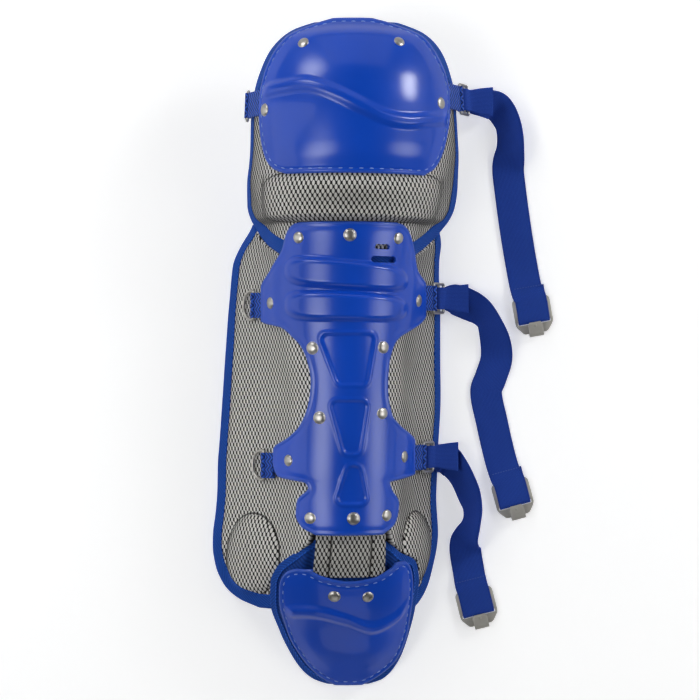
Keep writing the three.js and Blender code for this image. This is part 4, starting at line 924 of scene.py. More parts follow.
TABS = {
    "knee_left": station(LEG, 0.3645, -0.3150, 8.2, -0.405, 9),
    "shin_left": station(LEG, 0.067, -0.3475, 3.6, -0.392, 4.2),
    "ankle_left": station(LEG, -0.1725, -0.2915, 3.6, -0.338, 4.2),
    "knee_right": station(LEG, 0.3755, 0.3310, 8.2, 0.420, 9.5),
    "shin_right": station(LEG, 0.0785, 0.3325, 3.6, 0.384, 5.2),
    "ankle_right": station(LEG, -0.1615, 0.2655, 3.6, 0.318, 5.2),
}


def hook_at(x, y, tx, ty):
    t = unit(np.array((tx, ty, 0.0)))
    n = np.array((0.0, 0.0, 1.0))
    return {"p": np.array((x * GIRTH, y * LENGTH, NOSE + STRAP_T / 2)), "t": t, "n": n, "w": np.cross(n, t)}


# each strap's hook, then its run: across, along, height in mm, bank in degrees
RUNS = {
    "knee": (hook_at(0.612, 0.046, 0.1745, -0.985), [
        (0.472, 0.374, 14, 20), (0.500, 0.366, 8, 34), (0.522, 0.347, 4, 42), (0.531, 0.325, 1, 40),
        (0.531, 0.303, 1, 32), (0.526, 0.280, 1, 6), (0.531, 0.255, 1, 0), (0.553, 0.180, 1, 0),
        (0.577, 0.115, 1, 0), (0.589, 0.0885, 4.6, 0)]),
    "shin": (hook_at(0.548, -0.235, 0.26, -0.965), [
        (0.344, 0.078, 8, 2), (0.386, 0.071, 2.5, 14), (0.430, 0.060, 1, 34), (0.460, 0.043, 1, 45),
        (0.482, 0.014, 1, 25),
        (0.487, -0.014, 1, 6), (0.468, -0.043, 1, 0), (0.453, -0.064, 1, 0), (0.472, -0.110, 1, 0),
        (0.500, -0.166, 1, 0), (0.517, -0.192, 4.6, 0)]),
    "ankle": (hook_at(0.427, -0.402, 0.243, -0.97), [
        (0.306, -0.165, 12, 4), (0.326, -0.169, 3, 18), (0.344, -0.177, 1, 32), (0.370, -0.195, 1, 42),
        (0.394, -0.221, 1, 46),
        (0.406, -0.243, 1, 58), (0.401, -0.266, 1, 60), (0.385, -0.288, 1, 40), (0.384, -0.308, 1, 6),
        (0.395, -0.340, 1, 0), (0.402, -0.360, 4.6, 0)]),
}


def in_frame(f, t, w, n):
    t, w, n = (np.asarray(k, float)[..., None] for k in (t, w, n))
    return f["p"] + t * f["t"] + w * f["w"] + n * f["n"]


def strap_rows(f, run, hook):
    """A strap's line from tail to hook: rows of a point, the direction of its width and its width."""
    fold, tail, back, top = WIRE * 0.45 + GAP + STRAP_T / 2, 22.0, 24.0, 23.0
    tight = SLIDE_W - 2 * WIRE - 0.6
    rows = []
    put = lambda p, w, width: rows.append((*p, *w, width))
    flat = unit(np.array((f["t"][0], f["t"][1], 0.0)))
    past = in_frame(f, SLIDE_D + 2, 0, fold)
    for share, drop, width in ((1.0, 0.2, STRAP * 0.9), (0.45, 0.15, mix(tight, STRAP * 0.9, 0.6))):
        p = past + flat * tail * share
        put((p[0], p[1], past[2] - drop * tail), f["w"], width)
    put(past, f["w"], tight)
    put(in_frame(f, SLIDE_D / 2 + 2.5, 0, fold), f["w"], tight)
    for q in np.radians(np.linspace(90, 270, 9)):
        put(in_frame(f, SLIDE_D / 2 + fold * math.cos(q), 0, fold * math.sin(q)), f["w"], tight)
    put(in_frame(f, SLIDE_D + 3, 0, -fold), f["w"], tight)
    pts = [np.array((x * GIRTH, y * LENGTH, z)) for x, y, z, _ in run]
    for k, (_, _, z, bank) in enumerate(run):
        a = pts[k - 1] if k else np.array(rows[-1][:3])
        b = pts[k + 1] if k < len(run) - 1 else hook["p"]
        h = unit(np.array((b[0] - a[0], b[1] - a[1], 0.0)))
        q = math.radians(bank)
        low = STRAP / 2 * math.sin(q) + STRAP_T / 2 * math.cos(q)
        across = -h[1] * math.cos(q), h[0] * math.cos(q), math.sin(q)
        put((pts[k][0], pts[k][1], max(z, low)), across, STRAP if k else mix(tight, STRAP, 0.8))
    put(in_frame(hook, -top, 0, NOSE), hook["w"], STRAP)
    for q in np.radians(np.linspace(90, -90, 9)):
        put(in_frame(hook, NOSE * math.cos(q), 0, NOSE * math.sin(q)), hook["w"], STRAP)
    put(in_frame(hook, -back * 0.5, 0, -NOSE), hook["w"], STRAP)
    put(in_frame(hook, -back - 10, 0, -NOSE), hook["w"], STRAP)
    return np.array(rows)


def strap_line(rows, step=1.2):
    """The strap's rows drawn through by free cubic pieces, about a step apart, closer where it folds."""
    d = run_of(rows[:, :3])
    f = curve([(a, *row) for a, row in zip(d, rows)], free=True)
    legs = [np.linspace(a, b, max(2, math.ceil((b - a) / step)), endpoint=False) for a, b in zip(d, d[1:])]
    out = f(np.concatenate(legs + [d[-1:]]))
    return out[:, :3], unit(out[:, 3:6]), out[:, 6], float(d[-1])


# What a user would change
def colour(name, description, hexa):
    return FloatVectorProperty(name=name, description=description, subtype="COLOR", size=3, min=0, max=1,
                               default=linear(hexa))


def pitch_of(name, description, low, high, default):
    return FloatProperty(name=name, description=description, unit="LENGTH", min=low, max=high,
                         default=default)


def level_of(name, description, default):
    return FloatProperty(name=name, description=description, min=0, max=10, default=default)


class GuardFinish(bpy.types.PropertyGroup):
    """Colours of the guard's materials."""
    shell: colour("Shell", "Moulded shells", "0049c8")
    binding: colour("Binding", "Bound edges and foot pad", "1447a0")
    strap: colour("Strap", "Elastic straps", "2448aa")
    webbing: colour("Webbing", "Webbing tabs", "2350b4")
    cream: colour("Mesh yarn", "Light yarn of the mesh", "faf8f3")
    dark: colour("Mesh ground", "Dark ground of the mesh", "181615")
    nickel: colour("Nickel", "Rivets, rings and slides", "c9c6c0")
    plate: colour("Hook plate", "Pressed hooks", "c6c3bb")


class GuardSizes(bpy.types.PropertyGroup):
    """Sizes that the dressing adds to the frame."""
    stitch: pitch_of("Stitch pitch", "From one shell stitch to the next", 0.004, 0.02, 0.0088)
    twill: pitch_of("Binding twill", "Pitch of the binding's weave", 0.0005, 0.004, 0.0014)
    rib: pitch_of("Elastic rib", "Pitch of the elastic's ribs", 0.0005, 0.004, 0.0013)
    lamps: level_of("Lamp level", "How bright the round softboxes are", 1.65)
    panels: level_of("Panel level", "How bright the large, even panels are", 0.60)


FINISHES = {}


def finish(key):
    """Each finish is built once, from the scene's colours."""
    c, z = bpy.context.scene.guard_finish, bpy.context.scene.guard_sizes
    makers = {
        "shell": lambda: shell_plastic(tuple(c.shell)),
        "mesh": lambda: knit_mesh(tuple(c.cream), tuple(c.dark)),
        "binding": lambda: woven("bound_edge", tuple(c.binding), z.twill, 0.0004, seam=(0.0030, 0.0040)),
        # partly painted shade: the foot pad's cloth is the binding's blue darkened to 0.7, partly its own
        # darker tone and partly the shade under the liner's end
        "cloth": lambda: woven("foot_cloth", shaded(tuple(c.binding), 0.7), z.twill * 1.2, 0.0004),
        "elastic": lambda: woven("ribbed_elastic", tuple(c.strap), z.rib, 0.0004, 0.35, ribs=True),
        "webbing": lambda: herringbone(tuple(c.webbing)),
        "nickel": lambda: bright_metal("bright_nickel", tuple(c.nickel), 0.30),
        "plate": lambda: bright_metal("pressed_plate", tuple(c.plate), 0.42, 1.0, 0.5),
        "blue_thread": lambda: thread("shell_thread", linear("86a8ec")),
        "strap_thread": lambda: thread("strap_thread", linear("3f63b8")),
        "floor": studio_floor,
    }
    if key not in FINISHES:
        FINISHES[key] = makers[key]()
    return FINISHES[key]


# The operators
# name, place, width and height in metres, and level; a lamp fades out to its rim and a panel is even
SOFTBOXES = (
    ("lamp_knee_left", (-1.15, 1.46, 1.09), 1.2, 1.2, 5.0),
    ("lamp_knee_right", (1.55, 1.06, 0.96), 0.85, 0.85, 12.0),
    ("lamp_shin_left", (-1.10, -0.20, 1.66), 1.2, 1.7, 3.6),
    ("lamp_shin_right", (1.58, -0.20, 1.20), 1.1, 1.7, 2.8),
    ("panel_knee", (0.05, 2.10, 0.85), 2.0, 1.3, 0.9),
    ("panel_toe", (0.0, -2.20, 1.00), 1.8, 1.3, 1.0),
    ("panel_left", (-2.20, 0.10, 1.10), 1.5, 2.4, 1.8),
    ("panel_right", (2.10, 0.00, 1.20), 1.5, 2.2, 1.0),
)


class GUARD_OT_stage(bpy.types.Operator):
    """Lay the pale floor, hang the lamps and panels and set the camera over the guard"""
    bl_idname = "guard.stage"
    bl_label = "Stage"

    def execute(self, context):
        scene = context.scene
        sizes = scene.guard_sizes
        scene.view_settings.view_transform = "Standard"
        scene.view_settings.look = "None"
        self.sheet("floor_board", 8.0, 8.0, -0.0004, finish("floor"))
        world = bpy.data.worlds.new("soft_room")
        world.use_nodes = True
        tree = world.node_tree
        sky, rays, level = (tree.nodes["Background"], tree.nodes.new("ShaderNodeLightPath"),
                            tree.nodes.new("ShaderNodeMath"))
        sky.inputs[0].default_value = (0.97, 0.985, 1.0, 1.0)
        level.operation = "MULTIPLY_ADD"
        level.inputs[1].default_value, level.inputs[2].default_value = 0.85, 0.03
        tree.links.new(rays.outputs["Is Camera Ray"], level.inputs[0])
        tree.links.new(level.outputs[0], sky.inputs[1])
        scene.world = world
        for name, place, wide, tall, level in SOFTBOXES:
            lamp = name.startswith("lamp")
            self.softbox(name, place, wide, tall, level * (sizes.lamps if lamp else sizes.panels), lamp)
        data = bpy.data.cameras.new("photo_camera")
        data.sensor_width, data.lens, data.clip_end = 36.0, 102.9, 20.0
        camera = bpy.data.objects.new("photo_camera", data)
        camera.location = tuple(to_row((0, 0, 2000)))
        scene.collection.objects.link(camera)
        scene.camera = camera
        return {"FINISHED"}

    def sheet(self, name, wide, tall, z, material):
        """A level, flat stage piece over the origin."""
        x, y = wide / 2, tall / 2
        mesh = bpy.data.meshes.new(name)
        mesh.from_pydata([(-x, -y, z), (x, -y, z), (x, y, z), (-x, y, z)], [], [(0, 1, 2, 3)])
        mesh.materials.append(material)
        obj = bpy.data.objects.new(name, mesh)
        bpy.context.scene.collection.objects.link(obj)
        return obj

    def softbox(self, name, place, wide, tall, level, round_off):
        """A lit cloth that faces the guard."""
        box = self.sheet(name, wide, tall, 0, soft_light(name, wide, tall, level, round_off))
        box.location = place
        aim = (Vector((0, 0.05, 0.05)) - Vector(place)).normalized()
        box.rotation_euler = aim.to_track_quat("-Z", "Y").to_euler()
        box.visible_camera = False


class GUARD_OT_pads(bpy.types.Operator):
    """Lay the calf liner, the knee pad, the ankle tongue and the foot pad, each a padded layer"""
    bl_idname = "guard.pads"
    bl_label = "Padded layers"

    def execute(self, context):
        self.liner()
        self.knee()
        self.tongue()
        self.foot()
        return {"FINISHED"}

    def pad(self, name, form, s, y, over, under, lip, fill, sewn, shade):
        """A mesh-covered layer; sewn lines and shade (top, underside, rim) are marks for its finish."""
        p, faces, uv = slab(form, s, y, over, under, lip)
        marks = {"sewn": on_slab(sewn, sewn, len(p), 1.0), "shade": on_slab(*shade[:2], len(p), shade[2])}
        piece(name, p, faces, finish("mesh"), [name], "mesh", uv, marks=marks)

    def liner(self):
        """The calf liner: rows crowd where it drops under the knee pad and the foot pad."""
        def drop(edge, d):
            return lambda u: edge(liner_share(u)) + d * LENGTH
        s, y = lattice([liner_l, at_s(-0.25), at_s(0.25), liner_r], [34, 56, 34],
                       [at_y(0.236), drop(knee_cover, 0.005), drop(knee_cover, -0.005), at_y(-0.215),
                        drop(foot_cover, 0.005), drop(foot_cover, -0.005), drop(liner_end, 0)],
                       [18, 5, 78, 20, 5, 14])
        over, under = liner_heights(s, y)
        # painted shade: the yarn darkens where the liner drops more than about 3 mm, on its steps under the
        # knee pad and the foot pad
        sunk = 2.2 * smooth((-over - 3.2) / 2.5)
        self.pad("calf_liner", LEG, s, y, over, under, 0.6, 0.5, ankle_bulge(s, y)[1], (sunk, 0 * sunk, 0.0))
        self.bind("calf_binding", LEG, s, y, over, under, BINDING, 0.6,
                  lambda q: 0 * q + 7.0, lambda a, b: liner_heights(a, b)[0])

    def knee(self):
        """The knee pad, with a sewn trough round its bolster and a little unevenness on it."""
        s, y = lattice([knee_l, lambda q: knee_l(q) * 0.74, lambda q: knee_r(q) * 0.74, knee_r], [14, 74, 14],
                       [at_y(0.476), at_y(BOLSTER_TOP), at_y(BOLSTER), at_y(0.188), at_y(0.136)],
                       [56, 14, 14, 20])
        over, under = knee_over(s, y), 0 * s - KNEE_PAD * 0.46
        b = bolster(s, y)
        near = (y < BOLSTER_TOP * LENGTH) * (y > BOLSTER_END * LENGTH)
        over = over - 0.9 * band(b - 0.35, 0.12, 0.3) * near
        over = over + 0.25 * np.sin(s / 13 + 0.9) * np.sin(y / 9) * (b > 0)
        dy, ds = bolster_place(s, y)
        middle = np.exp(-((s - 2) / 48) ** 2 - ((y - BOLSTER * LENGTH) / 15) ** 2)
        self.pad("knee_pad", LEG, s, y, over, under, 0.6, 0.7,
                 np.clip(1 - dy ** 2 - ds ** 8, -1, 1), (middle, middle, 0.0))
        self.bind("knee_binding", LEG, s, y, over, under, BINDING * 1.1, 0.4,
                  lambda q: mix(8.0, 14.5, smooth((q / LENGTH - 0.190) / 0.05)), knee_over)

    def tongue(self):
        """The ankle tongue, quilted by two stitched lines along it."""
        line_at = 0.068 * GIRTH
        s, y = lattice([at_s(-0.120), at_s(0.120)], [60], [at_y(-0.262), at_y(-0.336)], [40])
        seam = np.maximum(band(s + line_at, 0.5, 2.2), band(s - line_at, 0.5, 2.2))
        puff = np.sin(math.pi * np.clip((s / GIRTH + 0.120) / 0.240, 0, 1)) ** 0.5
        over = np.where(y < -0.268 * LENGTH, 0.0, -0.8) - 1.9 * seam + 0.6 * (puff - 1)
        # painted shade: the tongue's yarn is darkened evenly all over through the shade mark
        even = 0 * s + 0.7
        self.pad("ankle_tongue", FOOT, s, y, over, 0 * s - TONGUE, 0.5, 0.5,
                 (np.abs(s) - line_at) / 16, (even, even, 0.7))

    def foot(self):
        """The foot pad: plain cloth, sunk under the tongue."""
        neck = 0.125 * GIRTH
        s, y = lattice([foot_l, lambda q: np.maximum(-neck, foot_l(q) * 0.6),
                        lambda q: np.minimum(neck, foot_r(q) * 0.6), foot_r], [18, 34, 18],
                       [at_y(-0.278), at_y(-0.338), at_y(-0.343), at_y(-0.506)], [24, 4, 60])
        over, under = foot_heights(s, y)
        p, faces, uv = slab(FOOT, s, y, over, under, 0.5)
        piece("foot_pad", p, faces, finish("cloth"), ["foot_pad"], "binding", uv)
        self.bind("foot_binding", FOOT, s, y, over, under, BINDING * 0.85, 0.3,
                  lambda q: 0 * q + 2.6, lambda a, b: foot_heights(a, b)[0])

    def bind(self, name, form, s, y, over, under, width, swell, lap, top):
        """A bound edge round a layer: lap says how far it laps in at each y, top where the layer's top is."""
        rim = border(s.shape)
        rows = resample(np.stack([k.ravel()[rim] for k in (s, y, over, under)], -1), 1.8)
        p, faces, uv = bead(form, *rows.T, width, swell, lap(rows[:, 1]), top)
        piece(name, p, faces, finish("binding"), [name], "binding", uv)


class GUARD_OT_shells(bpy.types.Operator):
    """Mould the knee cap, the shin shell with its vent slots and the foot shell, and sew two of them"""
    bl_idname = "guard.shells"
    bl_label = "Moulded shells"

    def execute(self, context):
        pitch = context.scene.guard_sizes.stitch * 1000

        def curl(edge, d):
            """A bar that follows an edge over the middle third of the grid, d past it."""
            return lambda u: edge(np.clip(u * 3 - 1, 0, 1)) + d

        def level(y):
            return lambda u: y + 0 * u

        def inner(edge, d):
            return lambda q: edge(q) + d
        s, y = lattice([cap_l, inner(cap_l, FLANGE), inner(cap_r, -FLANGE), cap_r], [6, 130, 6],
                       [at_y(0.482), level(CAP_TOP - FLANGE), curl(cap_ridge, 0.014 * LENGTH),
                        curl(cap_ridge, -0.014 * LENGTH), level(CAP_END + FLANGE), at_y(0.261)],
                       [6, 58, 26, 46, 6])
        outline = moulded("knee_cap_shell", LEG, s, y, cap_over, lambda a, b: knee_over(a, b) + 1.2)[1]
        sew("knee_cap_stitches", LEG, outline, cap_over, pitch)

        def slope(ends):
            return lambda u: slanted(ends, mix(-0.2 * GIRTH, 0.2 * GIRTH, u))
        ribs = [slope(ends) for rib in RIBS for ends in rib]
        s, y = lattice([shin_l, inner(shin_l, FLANGE), panel_l, panel_r, inner(shin_r, -FLANGE), shin_r],
                       [5, 34, 38, 34, 5],
                       [at_y(0.186), level(SHIN_TOP - FLANGE), at_y(0.150), *ribs, at_y(0.029), at_y(-0.055),
                        at_y(-0.114), at_y(-0.184), at_y(-0.193), level(SHIN_END + FLANGE), at_y(-0.269)],
                       [5, 14, 8, 24, 10, 24, 12, 36, 28, 34, 8, 34, 5])
        shell = moulded("shin_shell", LEG, s, y, shin_over, shin_under)[0]
        self.vent(shell, ((0.073, 0.125, 0.1555, 0.1480), (0.060, 0.150, 0.1375, 0.1285)))

        s, y = lattice([toe_l, inner(toe_l, FLANGE), inner(toe_r, -FLANGE), toe_r], [6, 86, 6],
                       [curl(toe_top, 0), curl(toe_top, -FLANGE), curl(toe_ridge, 0.014 * LENGTH),
                        curl(toe_ridge, -0.014 * LENGTH), level(TOE_END + FLANGE), at_y(-0.508)],
                       [6, 22, 24, 48, 6])
        outline = moulded("foot_shell", FOOT, s, y, toe_over, lambda a, b: 0 * a + 0.5)[1]
        sew("foot_shell_stitches", FOOT, outline, toe_over, pitch)
        return {"FINISHED"}

    def vent(self, shell, slots):
        """Cuts each slot with a rounded bar: a stadium of n sides carried straight through the shell."""
        for k, (s0, s1, y0, y1) in enumerate(slots):
            p, n, u, _ = lift(LEG, (s0 + s1) / 2 * GIRTH, (y0 + y1) / 2 * LENGTH, 3.0)
            w, h = (s1 - s0) * GIRTH / 2, (y0 - y1) * LENGTH / 2
            q = np.radians(np.linspace(-90, 90, 13))
            end = np.stack([w - h + h * np.cos(q), h * np.sin(q)], -1)
            ring = np.concatenate([end, -end])
            side = np.cross(n, u)
            base = p + ring[:, :1] * u + ring[:, 1:] * side
            m = len(ring)
            mesh = bpy.data.meshes.new(f"vent_cutter_{k}")
            sides = [tuple(f) for f in cells(2, m, wrap_cols=True)[:, ::-1].tolist()]
            ends = [tuple(range(m - 1, -1, -1)), tuple(range(m, 2 * m))]
            bar = to_row(np.concatenate([base - 15 * n, base + 15 * n]))
            mesh.from_pydata(bar.tolist(), [], sides + ends)
            cutter = bpy.data.objects.new(mesh.name, mesh)
            bpy.context.scene.collection.objects.link(cutter)
            cut = shell.modifiers.new("vent", "BOOLEAN")
            cut.operation, cut.object, cut.solver = "DIFFERENCE", cutter, "EXACT"
            bpy.context.view_layer.update()
            solved = shell.evaluated_get(bpy.context.evaluated_depsgraph_get())
            result = bpy.data.meshes.new_from_object(solved)
            shell.modifiers.remove(cut)
            old = shell.data
            shell.data = result
            bpy.data.meshes.remove(old)
            bpy.data.objects.remove(cutter)
            bpy.data.meshes.remove(mesh)
            result.name = "shin_shell"
        if len(shell.data.polygons) < 1000:
            raise RuntimeError("the vent slots were not cut")


# along and across
RIVETS = {
    "knee_rivet_top_left": (0.440, -0.148),
    "knee_rivet_top_right": (0.441, 0.136),
    "knee_rivet_left": (0.352, -0.285),
    "knee_rivet_right": (0.361, 0.282),
    "shin_rivet_top_left": (0.165, -0.162),
    "shin_rivet_top_center": (0.168, -0.001),
    "shin_rivet_top_right": (0.165, 0.156),
    "shin_rivet_upper_ear_left": (0.070, -0.285),
    "shin_rivet_upper_ear_right": (0.074, 0.270),
    "shin_rivet_waist_left": (0.003, -0.118),
    "shin_rivet_waist_right": (0.004, 0.100),
    "shin_rivet_middle_left": (-0.099, -0.100),
    "shin_rivet_middle_right": (-0.093, 0.092),
    "shin_rivet_lower_ear_left": (-0.163, -0.211),
    "shin_rivet_lower_ear_right": (-0.158, 0.187),
    "shin_rivet_bottom_left": (-0.246, -0.133),
    "shin_rivet_bottom_center": (-0.246, -0.001),
    "shin_rivet_bottom_right": (-0.243, 0.106),
    "foot_rivet_left": (-0.362, -0.045),
    "foot_rivet_right": (-0.363, 0.060),
}


class GUARD_OT_rivets(bpy.types.Operator):
    """Set a domed rivet head over each of the frame's rivets"""
    bl_idname = "guard.rivets"
    bl_label = "Rivets"

    def execute(self, context):
        r, sides = 0.57 * RIVET, 28
        # radius and height of the head's profile, from its foot to its crown
        q = np.radians(np.linspace(0, 90, 9))
        profile = [(r * 0.97, -0.5), (r, 0.15), (r * 0.985, 0.45), (r * 0.93, 0.60)]
        profile += [(r * 0.90 * math.cos(a), 0.55 + 2.0 * math.sin(a)) for a in q[:-1]]
        rings = np.array(profile)
        a = np.radians(np.arange(sides) * 360 / sides)[:, None]
        for name, (y, s) in RIVETS.items():
            low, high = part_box(name)
            centre = (np.array(low) + np.array(high)) / 2 * 1e3 - SHIFT
            _, n, u, _ = lift(FOOT if name.startswith("foot") else LEG, s * GIRTH, y * LENGTH)
            base = centre - n * 1.25
            spoke = np.cos(a) * u + np.sin(a) * np.cross(n, u)
            p = base + rings[:, None, :1] * spoke + rings[:, None, 1:] * n
            p = np.concatenate([p.reshape(-1, 3), (base + 2.55 * n)[None]])
            last = (len(rings) - 1) * sides
            fans = [tuple(range(sides - 1, -1, -1))]
            fans += [(last + k, last + (k + 1) % sides, len(p) - 1) for k in range(sides)]
            quads = cells(len(rings), sides, wrap_cols=True)[:, ::-1]
            piece(name, p, quads, finish("nickel"), [name], "steel", fans=fans)
        return {"FINISHED"}


class GUARD_OT_webbing(bpy.types.Operator):
    """Fold each webbing tab round its bar"""
    bl_idname = "guard.webbing"
    bl_label = "Webbing tabs"

    def execute(self, context):
        eye, half = WIRE / 2 + GAP + WEB_T / 2, WEB_T / 2 + 0.05
        for key, f in TABS.items():
            neck = math.degrees(math.asin(half / eye))
            q = np.radians(np.linspace(180 - neck, neck - 180, 25))
            runs = np.linspace(-f["reach"], -eye - 0.8, 6)
            t = np.concatenate([runs, eye * np.cos(q), runs[::-1]])
            n = np.concatenate([0 * runs + half, eye * np.sin(q), 0 * runs - half])
            path = in_frame(f, t, 0 * t, n)
            p, faces, uv, fans = carry(path, np.broadcast_to(f["w"], path.shape), WEB, WEB_T, 0.4, 7)
            piece(f"{key}_tab", p, faces, finish("webbing"), [f"{key}_tab"], "webbing", uv, fans)
        return {"FINISHED"}


class GUARD_OT_rings(bpy.types.Operator):
    """Bend the wire D-rings and the slides with their centre bars"""
    bl_idname = "guard.rings"
    bl_label = "Rings and slides"

    def execute(self, context):
        for key in ("knee", "shin", "ankle"):
            f = TABS[f"{key}_left"]
            if key == "knee":
                down = np.array((-0.12, 0.0, -1.0))
                down = unit(down - f["w"] * down.dot(f["w"]))
                f = {**f, "t": down, "n": np.cross(down, f["w"])}
            self.ring(f"{key}_left_ring", f)
            self.slide(f"{key}_right_slide", TABS[f"{key}_right"])
        return {"FINISHED"}

    def ring(self, name, f):
        """A D: a half ellipse, closed by a straight side with rounded corners."""
        w, corner = RING_W / 2, 2.2
        q = np.radians(np.linspace(-90, 90, 49))
        bow = np.stack([3 + (RING_D - 3) * np.cos(q), w * np.sin(q)], -1)
        turn = np.radians(np.linspace(90, 180, 8))
        top = np.stack([corner + corner * np.cos(turn), w - corner + corner * np.sin(turn)], -1)
        loop = resample(np.concatenate([bow, top, top[::-1] * (1, -1)]), 0.9)
        path = in_frame(f, loop[:, 0], loop[:, 1], 0 * loop[:, 0])
        piece(name, *wire(path, WIRE / 2, f["n"]), finish("nickel"), [name], "steel")

    def slide(self, name, f):
        """A rounded rectangle of wire with a thinner bar across its middle."""
        w, r, sides = SLIDE_W / 2, 1.8, 12
        turns = np.radians(np.linspace(0, 90, 7))
        corners = [(SLIDE_D - r, w - r, 0), (r, w - r, 90), (r, r - w, 180), (SLIDE_D - r, r - w, 270)]
        bends = [(t, c, turns + math.radians(a)) for t, c, a in corners]
        loop = np.concatenate([np.stack([t + r * np.cos(q), c + r * np.sin(q)], -1) for t, c, q in bends])
        p, faces = wire(in_frame(f, loop[:, 0], loop[:, 1], 0 * loop[:, 0]), WIRE / 2, f["n"])
        ends = np.array((-w, w))
        bar = in_frame(f, 0 * ends + SLIDE_D / 2, ends, 0 * ends)
        a = np.radians(np.arange(sides) * 360 / sides)[:, None]
        pin = bar[:, None] + WIRE * 0.45 * (np.cos(a) * f["t"] + np.sin(a) * f["n"])
        faces = np.concatenate([faces, cells(2, sides, len(p), wrap_cols=True)[:, ::-1]])
        p = np.concatenate([p, pin.reshape(-1, 3)])
        m = len(p)
        fans = [tuple(range(m - sides, m)), tuple(range(m - sides - 1, m - 2 * sides - 1, -1))]
        piece(name, p, faces, finish("nickel"), [name], "steel", fans=fans)


class GUARD_OT_straps(bpy.types.Operator):
    """Lay the three elastic straps, each from its tail round the slide and along the floor to its hook"""
    bl_idname = "guard.straps"
    bl_label = "Elastic straps"

    def execute(self, context):
        for key, (hook, run) in RUNS.items():
            rows = strap_rows(TABS[f"{key}_right"], run, hook)
            path, wide, widths, length = strap_line(rows)
            p, faces, uv, fans = carry(path, wide, widths, STRAP_T, 0.42, 9)
            obj = piece(f"{key}_strap", p, faces, finish("elastic"), [f"{key}_strap"], "elastic", uv, fans)
            places, along = [], []
            for back in (26.5, 33.5):
                x = np.linspace(-STRAP / 2 + 2.5, STRAP / 2 - 2.5, 11)
                places.append(in_frame(hook, 0 * x - back, x, 0 * x + NOSE * 0.55 + STRAP_T / 2 + 0.2))
                along.append(in_frame(hook, 0 * x, 0 * x + 1, 0 * x) - hook["p"])
            up = np.broadcast_to(hook["n"], (2 * len(x), 3))
            p, faces = beads(np.concatenate(places), np.concatenate(along), up, (2.0, 0.7, 0.6))
            piece(f"{key}_strap_stitches", p, faces, finish("strap_thread"), slot="elastic")
        return {"FINISHED"}


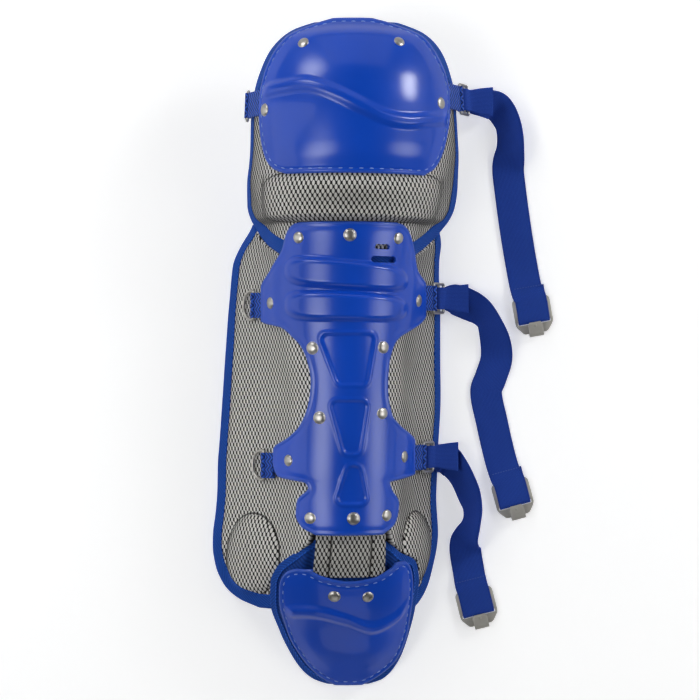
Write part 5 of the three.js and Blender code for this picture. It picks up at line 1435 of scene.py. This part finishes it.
class GUARD_OT_hooks(bpy.types.Operator):
    """Press the three hooks: a slotted plate and a tongue folded back over its face"""
    bl_idname = "guard.hooks"
    bl_label = "Hooks"

    def execute(self, context):
        w, up, down = PLATE / 2, 23.0, 13.0
        corners = [(-up, -w, 5.0), (down * 0.3, -w, 3.0), (down, -w * 0.62, 2.5),
                   (down, w * 0.62, 2.5), (down * 0.3, w, 3.0), (-up, w, 5.0)]
        outline = resample(self.rounded([np.array(c[:2]) for c in corners], [c[2] for c in corners]), 0.8)
        hole = np.array((NOSE + STRAP_T / 2 + 0.5, STRAP / 2 + 0.7))
        centre = np.array((hole[0] / 2, 0.0))
        ray = unit(outline - centre)
        reach = (hole / (2, 1) / np.maximum(np.abs(ray), 1e-9)).min(-1)
        inner = centre + ray * reach[:, None]
        h, e = PLATE_T / 2, 0.35
        upper = [(inner, h), (mix(inner, outline, 0.5), h), (outline - ray * e, h),
                 (outline - ray * e * 0.3, h - e * 0.3), (outline, h - e)]
        ring = upper + [(xy, -z) for xy, z in upper[::-1]]
        plate = np.stack([np.concatenate([xy, np.full((len(xy), 1), z)], -1) for xy, z in ring], 1)
        rise = 3.6
        c = PLATE_T / 2 + rise / 2
        q = np.radians(np.linspace(-90, 90, 15))
        side = np.concatenate([[(down - 3, 0.0)], np.stack([down + c * np.cos(q), c + c * np.sin(q)], -1),
                               np.linspace((down - 2, 2 * c + 0.1), (down - 11, 2 * c + 0.6), 5)])
        for key, (f, _) in RUNS.items():
            p = in_frame(f, plate[..., 0], plate[..., 1], plate[..., 2]).reshape(-1, 3)
            faces = cells(plate.shape[0], plate.shape[1], wrap_rows=True, wrap_cols=True)
            path = in_frame(f, side[:, 0], 0 * side[:, 0], side[:, 1])
            wide = np.broadcast_to(f["w"], path.shape)
            widths = np.concatenate([np.full(len(path) - 2, PLATE * 0.38), [PLATE * 0.36, PLATE * 0.30]])
            tp, tf, _, fans = carry(path, wide, widths, PLATE_T, 0.3, 5)
            fans = [tuple(i + len(p) for i in fan) for fan in fans]
            if volume(p - f["p"], faces) * volume(tp - f["p"], tf) < 0:
                faces = faces[:, ::-1]
            name = f"{key}_hook"
            faces = np.concatenate([faces, tf + len(p)])
            piece(name, np.concatenate([p, tp]), faces, finish("plate"), [name], "hook", fans=fans)
            middle = in_frame(f, [5.6], [0.0], [2 * c + 1.25])
            dot, faces = beads(middle, f["t"][None], f["n"][None], (3.0, 3.0, 0.9))
            piece(f"{key}_hook_dimple", dot, faces, finish("plate"), slot="hook")
        return {"FINISHED"}

    def rounded(self, corners, radii):
        """A closed outline whose corners are short curves between the points r before and after them."""
        out = []
        for k, (c, r) in enumerate(zip(corners, radii)):
            a, b = unit(corners[k - 1] - c), unit(corners[(k + 1) % len(corners)] - c)
            t = np.linspace(0, 1, 8)[:, None]
            out.append((1 - t) ** 2 * (c + a * r) + 2 * t * (1 - t) * c + t * t * (c + b * r))
        return np.concatenate(out)


class GUARD_PT_panel(bpy.types.Panel):
    """Colours, sizes and the steps that build the guard"""
    bl_idname = "GUARD_PT_panel"
    bl_label = "Leg Guard"
    bl_space_type = "VIEW_3D"
    bl_region_type = "UI"
    bl_category = "Leg Guard"

    def draw(self, context):
        for group in (context.scene.guard_finish, context.scene.guard_sizes):
            for key in group.__annotations__:
                self.layout.prop(group, key)
        for step in STEPS:
            self.layout.operator(step.bl_idname)


STEPS = (GUARD_OT_stage, GUARD_OT_pads, GUARD_OT_shells, GUARD_OT_rivets,
         GUARD_OT_webbing, GUARD_OT_rings, GUARD_OT_straps, GUARD_OT_hooks)
CLASSES = (GuardFinish, GuardSizes, *STEPS, GUARD_PT_panel)


def register():
    for one in CLASSES:
        bpy.utils.register_class(one)
    bpy.types.Scene.guard_finish = PointerProperty(type=GuardFinish)
    bpy.types.Scene.guard_sizes = PointerProperty(type=GuardSizes)


def unregister():
    del bpy.types.Scene.guard_finish
    del bpy.types.Scene.guard_sizes
    for one in reversed(CLASSES):
        bpy.utils.unregister_class(one)


def main():
    register()
    for step in STEPS:
        area, name = step.bl_idname.split(".")
        getattr(getattr(bpy.ops, area), name)()


if __name__ == "__main__":
    main()
